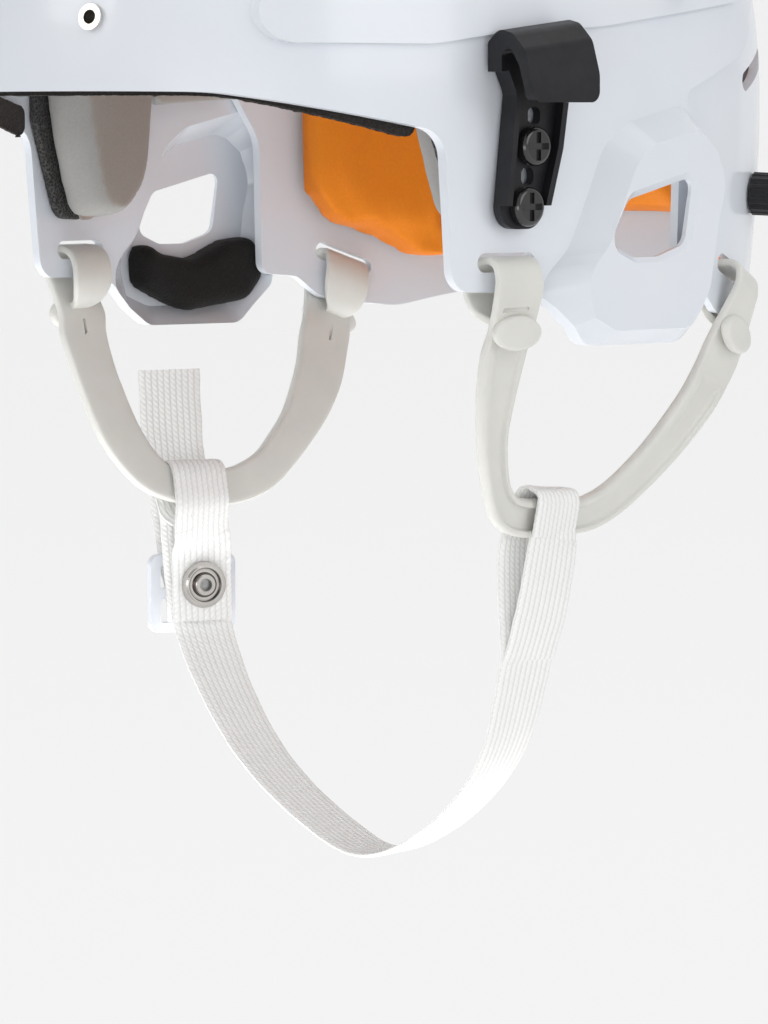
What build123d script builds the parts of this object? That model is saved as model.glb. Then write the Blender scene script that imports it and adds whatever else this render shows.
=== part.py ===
from build123d import *
import math
import os

# Ice hockey helmet, millimetres. Front is -Y, the wearer's left is +X, up is +Z.
# The origin lies on the midline, level with the brow rim, where the head sits.

# Shell form
shell_half_width = 92.0
front_reach = 147.0
rear_reach = 123.0
crown_height = 122.0
middle_y = 17.0
widest_level = 5.0
skirt_depth = 85.0
guard_drop = 65.0
shell_wall = 2.8
lap_gap = 0.5
size_travel = 12.0
shell_length = front_reach + rear_reach
outline_round = 10.0
overrun = 20.0

# Ear guard and its window
guard_rise = 8.5
guard_lean = 38.0
window_bevel = 2.6
window_bevel_lean = 50.0
ear_pad_thickness = 8.0

# Raised panels and vents
panel_rise = 2.4
crown_band_rise = 3.2
vent_length = 30.0
vent_width = 8.0
side_vent_length = 26.0
side_vent_height = 6.0

# Ear loop slots
slot_length = 22.0
slot_height = 5.6
front_slot_y = -29.5
front_slot_z = -39.8
rear_slot_y = 84.5
rear_slot_z = -45.5
rear_slot_tilt = -20.0

# Ear loops
loop_thickness = 3.2
loop_centre_y = 9.0
loop_centre_z = -78.0
loop_outer_radius = 45.0
loop_inner_radius = 31.5
loop_lean = 13.4
loop_stand_out = 3.6
loop_leg_width = 17.0
loop_top_z = -37.6
rear_leg_top_z = -44.0
rear_leg_slope = 54.0
tab_thickness = 2.6
tab_width = 15.0
wrap_height = 22.0
button_length = 21.0
button_height = 11.0
button_thickness = 3.0

# Cage clips
clip_width = 21.0
clip_height = 54.0
clip_thickness = 2.8
clip_y = -24.5
clip_low_z = -30.5
clip_gap = 1.2
clip_lean = 8.5
hook_width = 26.2
hook_reach = 18.2
hook_wall = 3.2
hook_rise = 7.0
clip_hole_length = 5.0
clip_hole_width = 4.8
clip_rib_width = 2.0
clip_rib_rise = 3.0
clip_screw_spacing = 17.0
clip_screw_z = -7.0
clip_spare_step = 8.6

# Screws and nuts
screw_head_radius = 5.6
screw_head_height = 3.0
screw_shank_radius = 2.0
screw_clearance = 0.3
nut_flange_radius = 6.5
nut_flange_thickness = 1.4
nut_barrel_radius = 3.1
nut_barrel_length = 4.0
recess_width = 1.8
recess_length = 8.0
recess_depth = 1.4

# Visor hardware at the forehead
insert_radius = 3.7
insert_bore = 2.0
insert_x = 22.0
insert_z = 28.5
insert_length = 6.0

# Size screws and their slots
size_screw_y = 42.0
size_screw_low_z = 42.0
size_screw_step = 26.0

# Lock knobs behind the ears
knob_radius = 6.6
knob_height = 7.5
knob_rib_count = 16
knob_rib_radius = 0.75
knob_y = 99.0
knob_z = -22.0
knob_gap = 0.6
knob_bore = 2.4

# Pads
pad_gap = 0.3
slide_gap = 0.85
backing_thickness = 3.2
temple_pad_thickness = 11.0
brow_pad_thickness = 13.0
side_pad_thickness = 8.0
crown_pad_thickness = 12.0
rear_pad_thickness = 10.0
rear_strip_thickness = 13.0
trim_thickness = 3.2
brow_pad_half_width = 42.0
brow_pad_low = 11.0
brow_pad_high = 56.0
crown_channel_width = 5.0
crown_channel_depth = 3.0
rear_centre_half_width = 33.0
rear_centre_low = -30.0
rear_centre_high = 42.0
strip_half_width = 7.0
strip_x = 47.0
strip_low = -34.0
strip_high = 22.0

# Chin strap webbing
webbing_width = 20.0
webbing_thickness = 1.5
fold_clearance = 1.5
fold_seat_gap = 0.3
fold_y = 3.0
flap_y = 6.5
flap_twist = 23.0
slider_width = 29.0
slider_height = 25.0
slider_thickness = 3.4
slider_bar = 3.2
snap_radius = 7.4
snap_height = 2.4
snap_hole = 1.9

# Small clearances and shares
seat_gap = 0.3
curved_seat_gap = 0.9
rear_inner_grow = -2 * shell_wall - lap_gap
hook_setback = 1.5
insert_lip = 0.9
insert_lip_gap = 0.4
loop_yaw = 2.4
tab_gap = 0.9
snap_step_shares = ((1.0, 0.35), (0.80, 0.75), (0.42, 1.0))
snap_groove_share = 0.72
snap_rim_share = 0.52
snap_socket_share = 0.62
snap_socket_depth = 1.2
snap_gap = 0.55
pad_round = 4.0
small_pad_round = 1.2
rear_pad_round = 0.8

# Routes of the webbing: x, y, z and the turn of its width about the upright.
fold_front_route = ((76.0, 2.0, -122.3, 4.0), (73.6, 4.0, -135.0, 6.0), (68.8, 7.0, -150.0, 8.0),
                    (65.3, 8.2, -158.5, 8.0))
fold_back_route = ((68.9, 2.0, -124.3, 4.0), (67.6, 4.0, -136.0, 8.0), (66.0, 6.5, -149.0, 10.0),
                   (65.0, 8.0, -158.5, 8.0))
strap_route = (
    (65.1, 8.0, -157.5, 8.0), (60.5, 9.0, -173.0, 4.0), (55.0, 10.0, -187.0, 0.0),
    (46.5, 10.0, -199.0, -2.0), (33.0, 10.0, -211.5, -4.0), (15.5, 10.0, -221.5, -4.0),
    (1.0, 10.0, -224.5, 0.0), (-13.0, 10.0, -219.5, 4.0), (-33.0, 10.0, -209.0, 4.0),
    (-49.0, 10.0, -196.5, 6.0), (-62.5, 10.5, -180.0, 10.0), (-72.2, 11.3, -164.0, 17.0),
    (-76.6, 12.1, -151.0, 23.0), (-77.4, 9.5, -136.0, 20.0), (-76.2, 6.5, -121.5, 8.0),
)
flap_route = ((-69.0, 6.5, -127.4, 10.0), (-71.4, 8.8, -133.5, 20.0), (-72.6, 10.1, -138.6, 23.0),
              (-72.6, 10.1, -157.0, 23.0))
tail_route = (
    (-78.1, 13.2, -158.5, 23.0), (-78.4, 12.85, -148.4, 23.0), (-83.7, 15.0, -141.5, 23.0),
    (-84.9, 14.5, -130.0, 25.0), (-87.4, 13.2, -112.0, 28.0), (-89.4, 13.0, -95.0, 30.0),
    (-90.4, 13.4, -79.0, 31.0),
)
slider_place = (-81.1, 13.95, -150.0)
snap_place = (-72.6, 10.1, -146.5)

# Outline of the clip's plate: share of its width, share of its height, share of its width round.
clip_shares = (
    (-0.638, 0.500, 0.06), (-0.600, 0.352, 0.20), (-0.419, 0.211, 0.20), (-0.624, -0.496, 0.30),
    (0.138, -0.496, 0.30), (0.452, -0.078, 0.40), (0.552, 0.167, 0.20), (0.552, 0.500, 0.06),
)
# Section of the hook: share of its reach outwards and above the plate's top, share of its wall round.
hook_shares = (
    (0.0, 0.0, 0.50), (0.247, 0.198, 1.25), (0.549, 0.132, 1.56), (0.835, -0.137, 1.56),
    (1.0, -0.659, 2.50), (1.0, -1.264, 0.0), (0.824, -1.264, 0.0), (0.824, -0.742, 1.90),
    (0.692, -0.357, 1.25), (0.495, -0.077, 0.62), (0.308, -0.165, 0.62), (0.308, -0.450, 0.0),
    (0.0, -0.450, 0.0),
)

# Outlines in the side view: share of shell length, share of guard drop, share of outline round.
front_shell_shares = (
    (-0.600, 0.138, 0.0), (-0.415, 0.123, 5.0), (-0.196, -0.046, 0.9), (-0.181, -0.735, 0.7),
    (-0.062, -0.750, 0.9), (0.007, -0.992, 0.9), (0.163, -1.000, 0.9), (0.211, -0.815, 0.6),
    (0.230, -0.431, 3.0), (0.244, -0.169, 0.9), (0.174, 0.123, 0.3), (0.311, 0.323, 1.2),
    (0.359, 0.769, 2.5), (0.326, 1.231, 2.5), (0.235, 1.662, 3.0), (0.185, 2.500, 0.0),
    (-0.600, 2.500, 0.0),
)
rear_shell_shares = (
    (0.185, -0.754, 0.4), (0.240, -0.775, 0.6), (0.275, -0.885, 0.8), (0.370, -0.935, 1.5),
    (0.463, -0.820, 3.0), (0.640, -0.730, 0.0), (0.640, 2.500, 0.0), (0.074, 2.500, 0.0),
    (0.104, 1.500, 1.5), (0.115, 1.150, 1.5), (0.115, 0.300, 0.9), (0.185, -0.092, 1.5),
)
guard_shares = (
    (-0.090, -0.790, 1.0), (-0.027, -0.562, 2.0), (0.028, -0.062, 1.2), (0.073, 0.045, 1.0),
    (0.174, 0.125, 0.6), (0.262, -0.160, 1.2), (0.238, -0.431, 3.0), (0.220, -0.850, 1.0),
    (0.172, -1.060, 1.0), (0.004, -1.060, 1.0),
)
window_shares = (
    (0.050, -0.346, 0.45), (0.161, -0.246, 0.30), (0.147, -0.550, 0.45), (0.100, -0.603, 0.9),
    (0.059, -0.603, 0.7), (0.020, -0.540, 0.35),
)
ear_pad_shares = (
    (0.000, -0.540, 0.45), (0.040, -0.645, 1.2), (0.095, -0.680, 1.5), (0.150, -0.590, 1.0),
    (0.196, -0.570, 0.5), (0.206, -0.770, 0.8), (0.180, -0.890, 0.8), (0.080, -0.935, 1.5),
    (0.004, -0.800, 0.6),
)
side_panel_shares = (
    (-0.400, 0.330, 0.8), (-0.215, 0.330, 2.0), (-0.137, 0.375, 1.0), (0.030, 0.420, 1.0),
    (0.300, 0.560, 1.0), (0.318, 0.900, 1.0), (0.200, 1.300, 1.5), (-0.100, 1.420, 2.0),
    (-0.330, 1.050, 1.5),
)
temple_pad_shares = (
    (-0.204, 0.420, 0.6), (-0.183, -0.030, 1.0), (-0.150, -0.430, 0.7), (-0.090, -0.440, 0.7),
    (-0.055, -0.260, 1.0), (-0.030, 0.420, 0.6),
)
temple_backing_shares = (
    (-0.202, 0.400, 0.4), (-0.199, 0.020, 1.0), (-0.157, -0.430, 0.6), (-0.110, -0.440, 0.6),
    (-0.060, -0.200, 1.0), (-0.040, 0.330, 0.6),
)
side_pad_shares = (
    (-0.020, 0.060, 0.6), (0.150, 0.100, 0.6), (0.150, 0.520, 0.8), (-0.020, 0.520, 0.8),
)
rear_pad_shares = (
    (0.233, 0.100, 0.6), (0.236, -0.330, 1.5), (0.262, -0.500, 1.0), (0.335, -0.600, 1.0),
    (0.372, -0.700, 1.0), (0.410, -0.690, 0.8), (0.420, -0.200, 1.0), (0.400, 0.450, 0.8),
    (0.260, 0.450, 0.8),
)
brow_trim_shares = (
    (-0.600, 0.090, 0.0), (-0.400, 0.080, 5.0), (-0.215, -0.110, 0.4), (-0.215, 0.060, 0.4),
    (-0.400, 0.220, 5.0), (-0.600, 0.230, 0.0),
)

# Vents of the rear shell: share of shell length, share of guard drop, turn in degrees.
rear_vent_shares = ((0.375, 0.245, 20.0), (0.400, 0.750, 12.0), (0.370, 1.150, 2.0))

# Places in the top view: share of half width, share of shell length, turn in degrees.
crown_vent_shares = ((0.42, -0.245, 12.0), (0.47, -0.075, 4.0), (0.46, 0.110, -6.0))
crown_band_shares = (
    (0.000, -0.420), (0.235, -0.405), (0.310, -0.200), (0.290, 0.050), (0.235, 0.200), (0.000, 0.215),
)
crown_pad_shares = (
    (0.030, -0.300), (0.330, -0.270), (0.380, -0.120), (0.340, 0.010), (0.030, 0.018),
)
crown_side_pad_shares = (
    (0.430, -0.255), (0.660, -0.190), (0.700, -0.080), (0.640, 0.010), (0.430, 0.010),
)
crown_rear_pad_shares = (
    (0.030, 0.190), (0.420, 0.190), (0.480, 0.270), (0.330, 0.370), (0.030, 0.380),
)

# Dome sections: angle above the widest level, and depth below it as a share of the skirt.
dome_angles = (0.0, 16.0, 32.0, 46.0, 58.0, 68.0, 77.0, 84.0)
skirt_shares = (1.0, 0.6, 0.3)
skirt_draw_share = 0.03
rear_draw_share = 0.10
front_power = 2.5
rear_power = 3.0
crown_power = 2.3
section_points = 28


def superellipse(angle, power):
    """Unit point of a superellipse at an angle from its first axis."""
    across = math.cos(angle)
    along = math.sin(angle)
    size = (abs(across) ** power + abs(along) ** power) ** (-1 / power)
    return across * size, along * size


def plan_wire(half_width, front, rear, level):
    """Closed horizontal section of the dome."""
    points = []
    for index in range(section_points):
        angle = 2 * math.pi * (index + 0.5) / section_points
        power = front_power if math.sin(angle) < 0 else rear_power
        across, along = superellipse(angle, power)
        reach = front if along < 0 else rear
        points.append(Vector(half_width * across, middle_y + reach * along, level))
    return Wire([Edge.make_spline(points, periodic=True)])


domes = {}


def dome(grow):
    """Solid dome of the head's form, grown outwards by a distance, made once."""
    if grow not in domes:
        domes[grow] = dome_solid(grow)
    return domes[grow]


def dome_solid(grow):
    """Loft of the dome's sections."""
    half_width = shell_half_width + grow
    front = front_reach + grow
    rear = rear_reach + grow
    height = crown_height + grow
    wires = []
    for share in skirt_shares:
        draw = 1 - skirt_draw_share * share ** 2
        rear_draw = 1 - rear_draw_share * share ** 2
        level = widest_level - skirt_depth * share
        wires.append(plan_wire(half_width * draw, front * draw, rear * rear_draw, level))
    for degrees in dome_angles:
        across, up = superellipse(math.radians(degrees), crown_power)
        level = widest_level + height * up
        wires.append(plan_wire(half_width * across, front * across, rear * across, level))
    return Solid.make_loft(wires)


def surface_x(y, z, grow):
    """Half width of the dome at a side point."""
    half_width = shell_half_width + grow
    rise = (z - widest_level) / (crown_height + grow)
    depth = (widest_level - z) / skirt_depth
    if rise > 0:
        shrink = (1 - rise ** crown_power) ** (1 / crown_power)
        front_shrink = shrink
        rear_shrink = shrink
    else:
        shrink = 1 - skirt_draw_share * depth ** 2
        front_shrink = shrink
        rear_shrink = 1 - rear_draw_share * depth ** 2
    if y < middle_y:
        along = (middle_y - y) / ((front_reach + grow) * front_shrink)
        power = front_power
    else:
        along = (y - middle_y) / ((rear_reach + grow) * rear_shrink)
        power = rear_power
    return half_width * shrink * (1 - along ** power) ** (1 / power)


def surface_y_front(x, z, grow):
    """Front reach of the dome at a point off the midline."""
    rise = max((z - widest_level) / (crown_height + grow), 0)
    shrink = (1 - rise ** crown_power) ** (1 / crown_power)
    across = abs(x) / ((shell_half_width + grow) * shrink)
    along = (1 - across ** front_power) ** (1 / front_power)
    return middle_y - (front_reach + grow) * shrink * along


def side_normal(y, z, side, grow=0):
    """Outward direction of the dome at a side point."""
    step = shell_wall
    slope_y = (surface_x(y + step, z, grow) - surface_x(y - step, z, grow)) / (2 * step)
    slope_z = (surface_x(y, z + step, grow) - surface_x(y, z - step, grow)) / (2 * step)
    return Vector(side, -slope_y, -slope_z).normalized()


def side_point(y, z, side, grow):
    """Point on the grown dome at a side place."""
    return Vector(side * surface_x(y, z, grow), y, z)


def side_face(shares, x=0, widen=0):
    """Face in the side view, with rounded corners."""
    points = []
    radii = []
    for y_share, z_share, round_share in shares:
        points.append((x, y_share * shell_length, z_share * guard_drop))
        radii.append(round_share * outline_round)
    face = Face(Wire(FilletPolyline(*points, radius=radii, close=True).edges()))
    if widen != 0:
        face = offset(face, amount=widen).faces()[0]
    return face


def side_prism(shares, widen=0, both=False):
    """Prism of a side outline on the wearer's left, or through both sides."""
    width = shell_half_width + overrun
    if both:
        return extrude(side_face(shares, -width, widen), amount=2 * width, dir=(1, 0, 0))
    return extrude(side_face(shares, 0, widen), amount=width, dir=(1, 0, 0))


def leaning_prism(shares, base_x, height, lean, outwards=True, widen=0):
    """Prism of a side outline whose walls lean inwards as it rises."""
    face = side_face(shares, base_x, widen)
    way = (1, 0, 0) if outwards else (-1, 0, 0)
    return extrude(face, amount=height, dir=way, taper=lean)


def top_face(shares, level):
    """Face in the top view."""
    points = []
    for x_share, y_share in shares:
        points.append((x_share * shell_half_width, y_share * shell_length, level))
    return Face(Wire(Polyline(*points, close=True).edges()))


def mirrored(shape):
    """The same shape on the wearer's right."""
    return mirror(shape, about=Plane.YZ)


def one_solid(shape):
    """The largest solid of a result."""
    return max(shape.solids(), key=lambda solid: solid.volume)


def drill(point, direction, radius, depth):
    """Cylinder centred on a point, along a direction."""
    plane = Plane(origin=point - direction * (depth / 2), z_dir=direction)
    return extrude(plane * Circle(radius), amount=depth)


def bar_through(point, direction, along, length, width, depth):
    """Rounded bar centred on a point, long way given, cut along a direction."""
    plane = Plane(origin=point - direction * (depth / 2), x_dir=along, z_dir=direction)
    return extrude(plane * SlotOverall(length, width), amount=depth)


def vent_bars():
    """Bars that cut the vents of both crown grooves."""
    bars = []
    for x_share, y_share, turn in crown_vent_shares:
        place = Vector(x_share * shell_half_width, y_share * shell_length, crown_height)
        along = Vector(0, 1, 0).rotate(Axis.Z, turn)
        bar = bar_through(place, Vector(0, 0, 1), along, vent_length, vent_width, crown_height)
        bars.append(bar)
        bars.append(mirrored(bar))
    return bars


def side_slot(y, z, tilt, length=slot_length, height=slot_height):
    """Bar that cuts one ear loop slot through the wall."""
    normal = side_normal(y, z, 1)
    along = Vector(0, 1, 0).rotate(Axis.X, tilt)
    along = (along - normal * along.dot(normal)).normalized()
    return bar_through(side_point(y, z, 1, 0), normal, along, length, height, overrun)


def clip_screw_levels():
    """Heights of the two screws of one clip."""
    return (clip_screw_z, clip_screw_z - clip_screw_spacing)


def size_screw_levels():
    """Heights of the two size screws of one side."""
    return (size_screw_low_z, size_screw_low_z + size_screw_step)


def hugging(prism, grow, thickness):
    """Layer of a prism that lies against the dome grown by a distance."""
    return one_solid((prism & dome(grow)) - dome(grow - thickness))


def front_shell():
    """Forward shell with ear guards, windows, slots, raised panels and vents."""
    guard_base = shell_half_width - guard_rise / 2
    guard_tall = 2 * guard_rise + outline_round
    guard = leaning_prism(guard_shares, guard_base, guard_tall, guard_lean) & dome(guard_rise)
    panel = side_prism(side_panel_shares) & dome(panel_rise)
    half_band = extrude(top_face(crown_band_shares, 0), amount=2 * crown_height, dir=(0, 0, 1))
    band = (half_band + mirrored(half_band)) & dome(crown_band_rise)
    sink = shell_wall / math.sin(math.radians(guard_lean))
    pocket = leaning_prism(guard_shares, guard_base - sink, guard_tall, guard_lean)
    pocket = pocket & dome(guard_rise - shell_wall)
    body = dome(0) + [guard, mirrored(guard), panel, mirrored(panel), band]
    body = body - [dome(-shell_wall), pocket, mirrored(pocket)]
    body = body & side_prism(front_shell_shares, both=True)
    tools = [side_prism(window_shares, both=True)] + vent_bars()
    spread = window_bevel + shell_wall * math.tan(math.radians(window_bevel_lean))
    recess = leaning_prism(window_shares, shell_half_width + guard_rise + shell_wall,
                           spread / math.tan(math.radians(window_bevel_lean)), window_bevel_lean,
                           False, spread)
    tools.append(recess)
    tools.append(mirrored(recess))
    for tool in front_cutters():
        tools.append(tool)
        tools.append(mirrored(tool))
    return one_solid(body - tools)


def front_cutters():
    """Cutters of one side of the front shell."""
    cutters = [side_slot(front_slot_y, front_slot_z, 0)]
    plane = clip_plane()
    for level in clip_screw_levels():
        point = (plane * clip_spot(level)).position
        cutters.append(drill(point, plane.z_dir, nut_barrel_radius + screw_clearance, overrun))
    for level in size_screw_levels():
        centre_y = size_screw_y - size_travel / 2
        point = side_point(centre_y, level, 1, 0)
        direction = side_normal(centre_y, level, 1)
        width = 2 * (nut_barrel_radius + screw_clearance)
        along = (Vector(0, 1, 0) - direction * direction.Y).normalized()
        cutters.append(bar_through(point, direction, along, size_travel + width, width, overrun))
    point = Vector(insert_x, surface_y_front(insert_x, insert_z, 0), insert_z)
    cutters.append(drill(point, insert_normal(1), insert_radius - insert_lip, overrun))
    return cutters


def rear_shell():
    """Rear shell that slides inside the front shell."""
    outer = -shell_wall - lap_gap
    body = dome(outer) - dome(outer - shell_wall)
    body = body & side_prism(rear_shell_shares, both=True)
    tools = [side_slot(rear_slot_y, rear_slot_z, rear_slot_tilt)]
    for level in size_screw_levels():
        point = side_point(size_screw_y, level, 1, 0)
        direction = side_normal(size_screw_y, level, 1)
        tools.append(drill(point, direction, nut_barrel_radius + screw_clearance, overrun))
    point = side_point(knob_y, knob_z, 1, outer)
    tools.append(drill(point, side_normal(knob_y, knob_z, 1, outer), knob_bore, overrun))
    for y_share, z_share, turn in rear_vent_shares:
        y = y_share * shell_length
        z = z_share * guard_drop
        tools.append(side_slot(y, z, turn, side_vent_length, side_vent_height))
    body = body - tools - [mirrored(tool) for tool in tools]
    return one_solid(body)


def clip_plane():
    """Plane on the back of the left cage clip: along the shell, up, and outwards."""
    middle_z = clip_low_z + clip_height / 2
    normal = side_normal(clip_y, middle_z, 1)
    normal = Vector(normal.X, normal.Y, 0).normalized()
    origin = side_point(clip_y, middle_z, 1, 0) + normal * clip_gap
    along = Vector(0, 0, 1).cross(normal)
    return Plane(origin=origin, x_dir=along, z_dir=normal)


def clip_spot(level, out=0):
    """Place on the clip's leaning middle line at a level, a distance out from its back."""
    up = level - clip_low_z - clip_height / 2
    return Pos(up * math.tan(math.radians(clip_lean)), up, out)


def clip_face():
    """Outline of the clip's plate, wide at the hook and round at the bottom."""
    points = [(x * clip_width, y * clip_height) for x, y, rounding in clip_shares]
    rounds = tuple(rounding * clip_width for x, y, rounding in clip_shares)
    return Face(Wire(FilletPolyline(*points, radius=rounds, close=True).edges()))


def clip_hook(plane):
    """Bent plate over the clip's top, cut off level below."""
    top = clip_height / 2
    points = [(x * hook_reach, top + y * hook_reach) for x, y, rounding in hook_shares]
    rounds = tuple(rounding * hook_wall for x, y, rounding in hook_shares)
    section = Face(Wire(FilletPolyline(*points, radius=rounds, close=True).edges()))
    along = plane.x_dir.rotate(Axis((0, 0, 0), plane.z_dir), hook_rise)
    side_plane = Plane(origin=(plane * Pos(-hook_setback, 0)).position, x_dir=plane.z_dir, z_dir=-along)
    bent = extrude(side_plane * section, amount=hook_width, both=True)
    window = Pos(-hook_setback, top) * RectangleRounded(hook_width, 2 * hook_reach, hook_wall)
    return bent & extrude(plane * window, 2 * hook_reach)


def cage_clip():
    """Clip with raised side ribs, two spare holes and the hook that holds a cage wire."""
    plane = clip_plane()
    face = clip_face()
    rim = face - offset(face, amount=-clip_rib_width)
    ribs = extrude(plane.offset(clip_thickness) * rim, clip_rib_rise)
    low = clip_spot(clip_screw_levels()[-1]).position.Y
    ribs = ribs & block_on(plane, -clip_width, clip_width, low + seat_gap, clip_height, 0, hook_reach)
    body = extrude(plane * face, clip_thickness) + ribs + clip_hook(plane)
    tools = []
    for level in clip_screw_levels():
        place = plane * clip_spot(level)
        tools.append(extrude(place * Circle(screw_shank_radius + screw_clearance), clip_thickness))
        spare = plane * clip_spot(level + clip_spare_step)
        hole = RectangleRounded(clip_hole_width, clip_hole_length, clip_hole_width * 2 / 5)
        tools.append(extrude(spare * hole, clip_thickness))
    return one_solid(body - tools)


def screw(plane, shank_length, head_radius, slot_only):
    """Domed screw whose head stands on a plane, shank going back through it."""
    head = extrude(plane * Circle(head_radius), screw_head_height)
    head = fillet(head.edges().group_by(Axis(plane.origin, plane.z_dir))[-1], screw_head_height / 2)
    shank = extrude(plane * Circle(screw_shank_radius), -shank_length)
    bars = [Rectangle(recess_length, recess_width)]
    if not slot_only:
        bars.append(Rectangle(recess_width, recess_length))
    body = head + shank
    for bar in bars:
        body = body - extrude(plane.offset(screw_head_height) * bar, -recess_depth)
    return one_solid(body)


def tee_nut(plane):
    """Nut whose flange lies behind a plane, with its barrel through it."""
    flange = extrude(plane * Circle(nut_flange_radius), -nut_flange_thickness)
    barrel = extrude(plane * Circle(nut_barrel_radius), nut_barrel_length)
    bore = extrude(plane.offset(-nut_flange_thickness) * Circle(screw_shank_radius + screw_clearance / 2),
                   nut_flange_thickness + nut_barrel_length)
    return one_solid(flange + barrel - bore)


def clip_screws():
    """Four screws that hold the cage clips."""
    solids = []
    for level in clip_screw_levels():
        plane = clip_plane()
        seat = plane * clip_spot(level, clip_thickness + seat_gap)
        length = clip_thickness + clip_gap + shell_wall + 2 * seat_gap
        solids.append(screw(Plane(seat.position, plane.x_dir, plane.z_dir), length,
                            screw_head_radius, False))
    return both_sides(solids)


def clip_nuts():
    """Four nuts inside the shell behind the cage clips."""
    solids = []
    for level in clip_screw_levels():
        plane = clip_plane()
        depth = clip_gap + shell_wall + 2 * seat_gap
        seat = plane * clip_spot(level, -depth)
        solids.append(tee_nut(Plane(seat.position, plane.x_dir, plane.z_dir)))
    return both_sides(solids)


def size_plane(level, grow):
    """Plane a distance outside the dome at one size screw of the left side."""
    normal = side_normal(size_screw_y, level, 1)
    along = (Vector(0, 1, 0) - normal * normal.Y).normalized()
    origin = side_point(size_screw_y, level, 1, 0) + normal * grow
    return Plane(origin=origin, x_dir=along, z_dir=normal)


def size_screws():
    """Four screws that lock the two shells at the chosen size."""
    solids = []
    for level in size_screw_levels():
        length = panel_rise + 2 * shell_wall + lap_gap + 2 * seat_gap
        plane = size_plane(level, panel_rise + curved_seat_gap)
        solids.append(screw(plane, length, screw_head_radius, False))
    return both_sides(solids)


def size_nuts():
    """Four nuts inside the rear shell under the size screws."""
    solids = []
    for level in size_screw_levels():
        depth = 2 * shell_wall + lap_gap + curved_seat_gap
        solids.append(tee_nut(size_plane(level, -depth)))
    return both_sides(solids)


def both_sides(solids):
    """One group of solids with their copies on the wearer's right."""
    return Compound(solids + [mirrored(solid) for solid in solids])


def insert_normal(side):
    """Outward direction of the forehead at a visor hole."""
    step = shell_wall
    slope_x = (surface_y_front(insert_x + step, insert_z, 0)
               - surface_y_front(insert_x - step, insert_z, 0)) / (2 * step)
    slope_z = (surface_y_front(insert_x, insert_z + step, 0)
               - surface_y_front(insert_x, insert_z - step, 0)) / (2 * step)
    return Vector(side * slope_x, -1, slope_z).normalized()


def insert_plane(side):
    """Plane on the forehead at a visor hole, square to the shell."""
    y = surface_y_front(insert_x, insert_z, 0)
    normal = insert_normal(side)
    along = (Vector(0, 0, 1) - normal * normal.Z).normalized().cross(normal)
    return Plane(origin=(side * insert_x, y, insert_z), x_dir=along, z_dir=normal)


def visor_inserts():
    """Two threaded sleeves in the forehead that take a visor's screws."""
    solids = []
    for side in (1, -1):
        plane = insert_plane(side)
        lip = extrude(plane.offset(insert_lip_gap) * Circle(insert_radius), insert_lip)
        sleeve = extrude(plane.offset(insert_lip_gap) * Circle(insert_radius - insert_lip - seat_gap),
                         -insert_length)
        body = lip + sleeve
        bore = plane.offset(insert_lip_gap + insert_lip) * Circle(insert_bore)
        solids.append(one_solid(body - extrude(bore, -insert_length - insert_lip)))
    return Compound(solids)


def visor_screw():
    """Slotted screw that closes the visor hole on the wearer's right."""
    plane = insert_plane(-1).offset(insert_lip_gap + insert_lip + seat_gap)
    head = extrude(plane * Circle(insert_radius), insert_lip * 2)
    head = chamfer(head.edges().group_by(Axis(plane.origin, plane.z_dir))[-1], insert_lip / 2)
    shank = extrude(plane * Circle(insert_bore - screw_clearance), -insert_length / 2)
    top = plane.offset(insert_lip * 2)
    groove = extrude(top * Rectangle(insert_radius * 3, recess_width / 2), -insert_lip)
    return one_solid(head + shank - groove)


def knob_plane():
    """Plane on the rear shell under the left lock knob."""
    grow = -shell_wall - lap_gap
    normal = side_normal(knob_y, knob_z, 1, grow)
    up = Vector(0, 0, 1)
    along = up.cross(normal).normalized()
    origin = side_point(knob_y, knob_z, 1, grow) + normal * knob_gap
    return Plane(origin=origin, x_dir=along, z_dir=normal)


def lock_knob():
    """Round knob with ribs about its rim and a counterbore for the stud's head."""
    plane = knob_plane()
    section = Circle(knob_radius - knob_rib_radius / 2)
    for index in range(knob_rib_count):
        angle = 360 * index / knob_rib_count
        section += Rot(0, 0, angle) * Pos(knob_radius - knob_rib_radius, 0) * Circle(knob_rib_radius)
    body = extrude(plane * section, knob_height)
    cap = extrude(plane.offset(knob_height) * Circle(knob_radius - 2 * knob_rib_radius), knob_rib_radius)
    bore = extrude(plane * Circle(knob_bore), knob_height + knob_rib_radius)
    sink = extrude(plane.offset(knob_height / 2) * Circle(2 * knob_bore), knob_height)
    return one_solid(body + cap - bore - sink)


def knob_studs():
    """Studs that carry the knobs, each with a flange inside the rear shell."""
    plane = knob_plane()
    inside = knob_gap + shell_wall + curved_seat_gap
    shank_length = inside + knob_height / 2 + seat_gap
    shank = extrude(plane.offset(-inside) * Circle(screw_shank_radius), shank_length)
    flange = extrude(plane.offset(-inside) * Circle(nut_flange_radius), -nut_flange_thickness)
    head = plane.offset(knob_height / 2 + seat_gap) * Circle(2 * knob_bore - screw_clearance)
    stud = one_solid(shank + flange + extrude(head, screw_head_height))
    slot = plane.offset(knob_height / 2 + seat_gap + screw_head_height) * Rectangle(recess_length, recess_width)
    return both_sides([one_solid(stud - extrude(slot, -recess_depth))])


def crowned(pad, toward, radius=pad_round):
    """Pad whose face towards the head swells, with its rim rounded."""
    face = max(pad.faces(), key=lambda each: each.area * each.normal_at().dot(Vector(*toward)))
    return one_solid(pad.fillet(radius, face.edges()))


def brow_trim():
    """Dark edge foam inside the brow rim."""
    return hugging(side_prism(brow_trim_shares, both=True), -shell_wall - pad_gap, trim_thickness)


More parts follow.
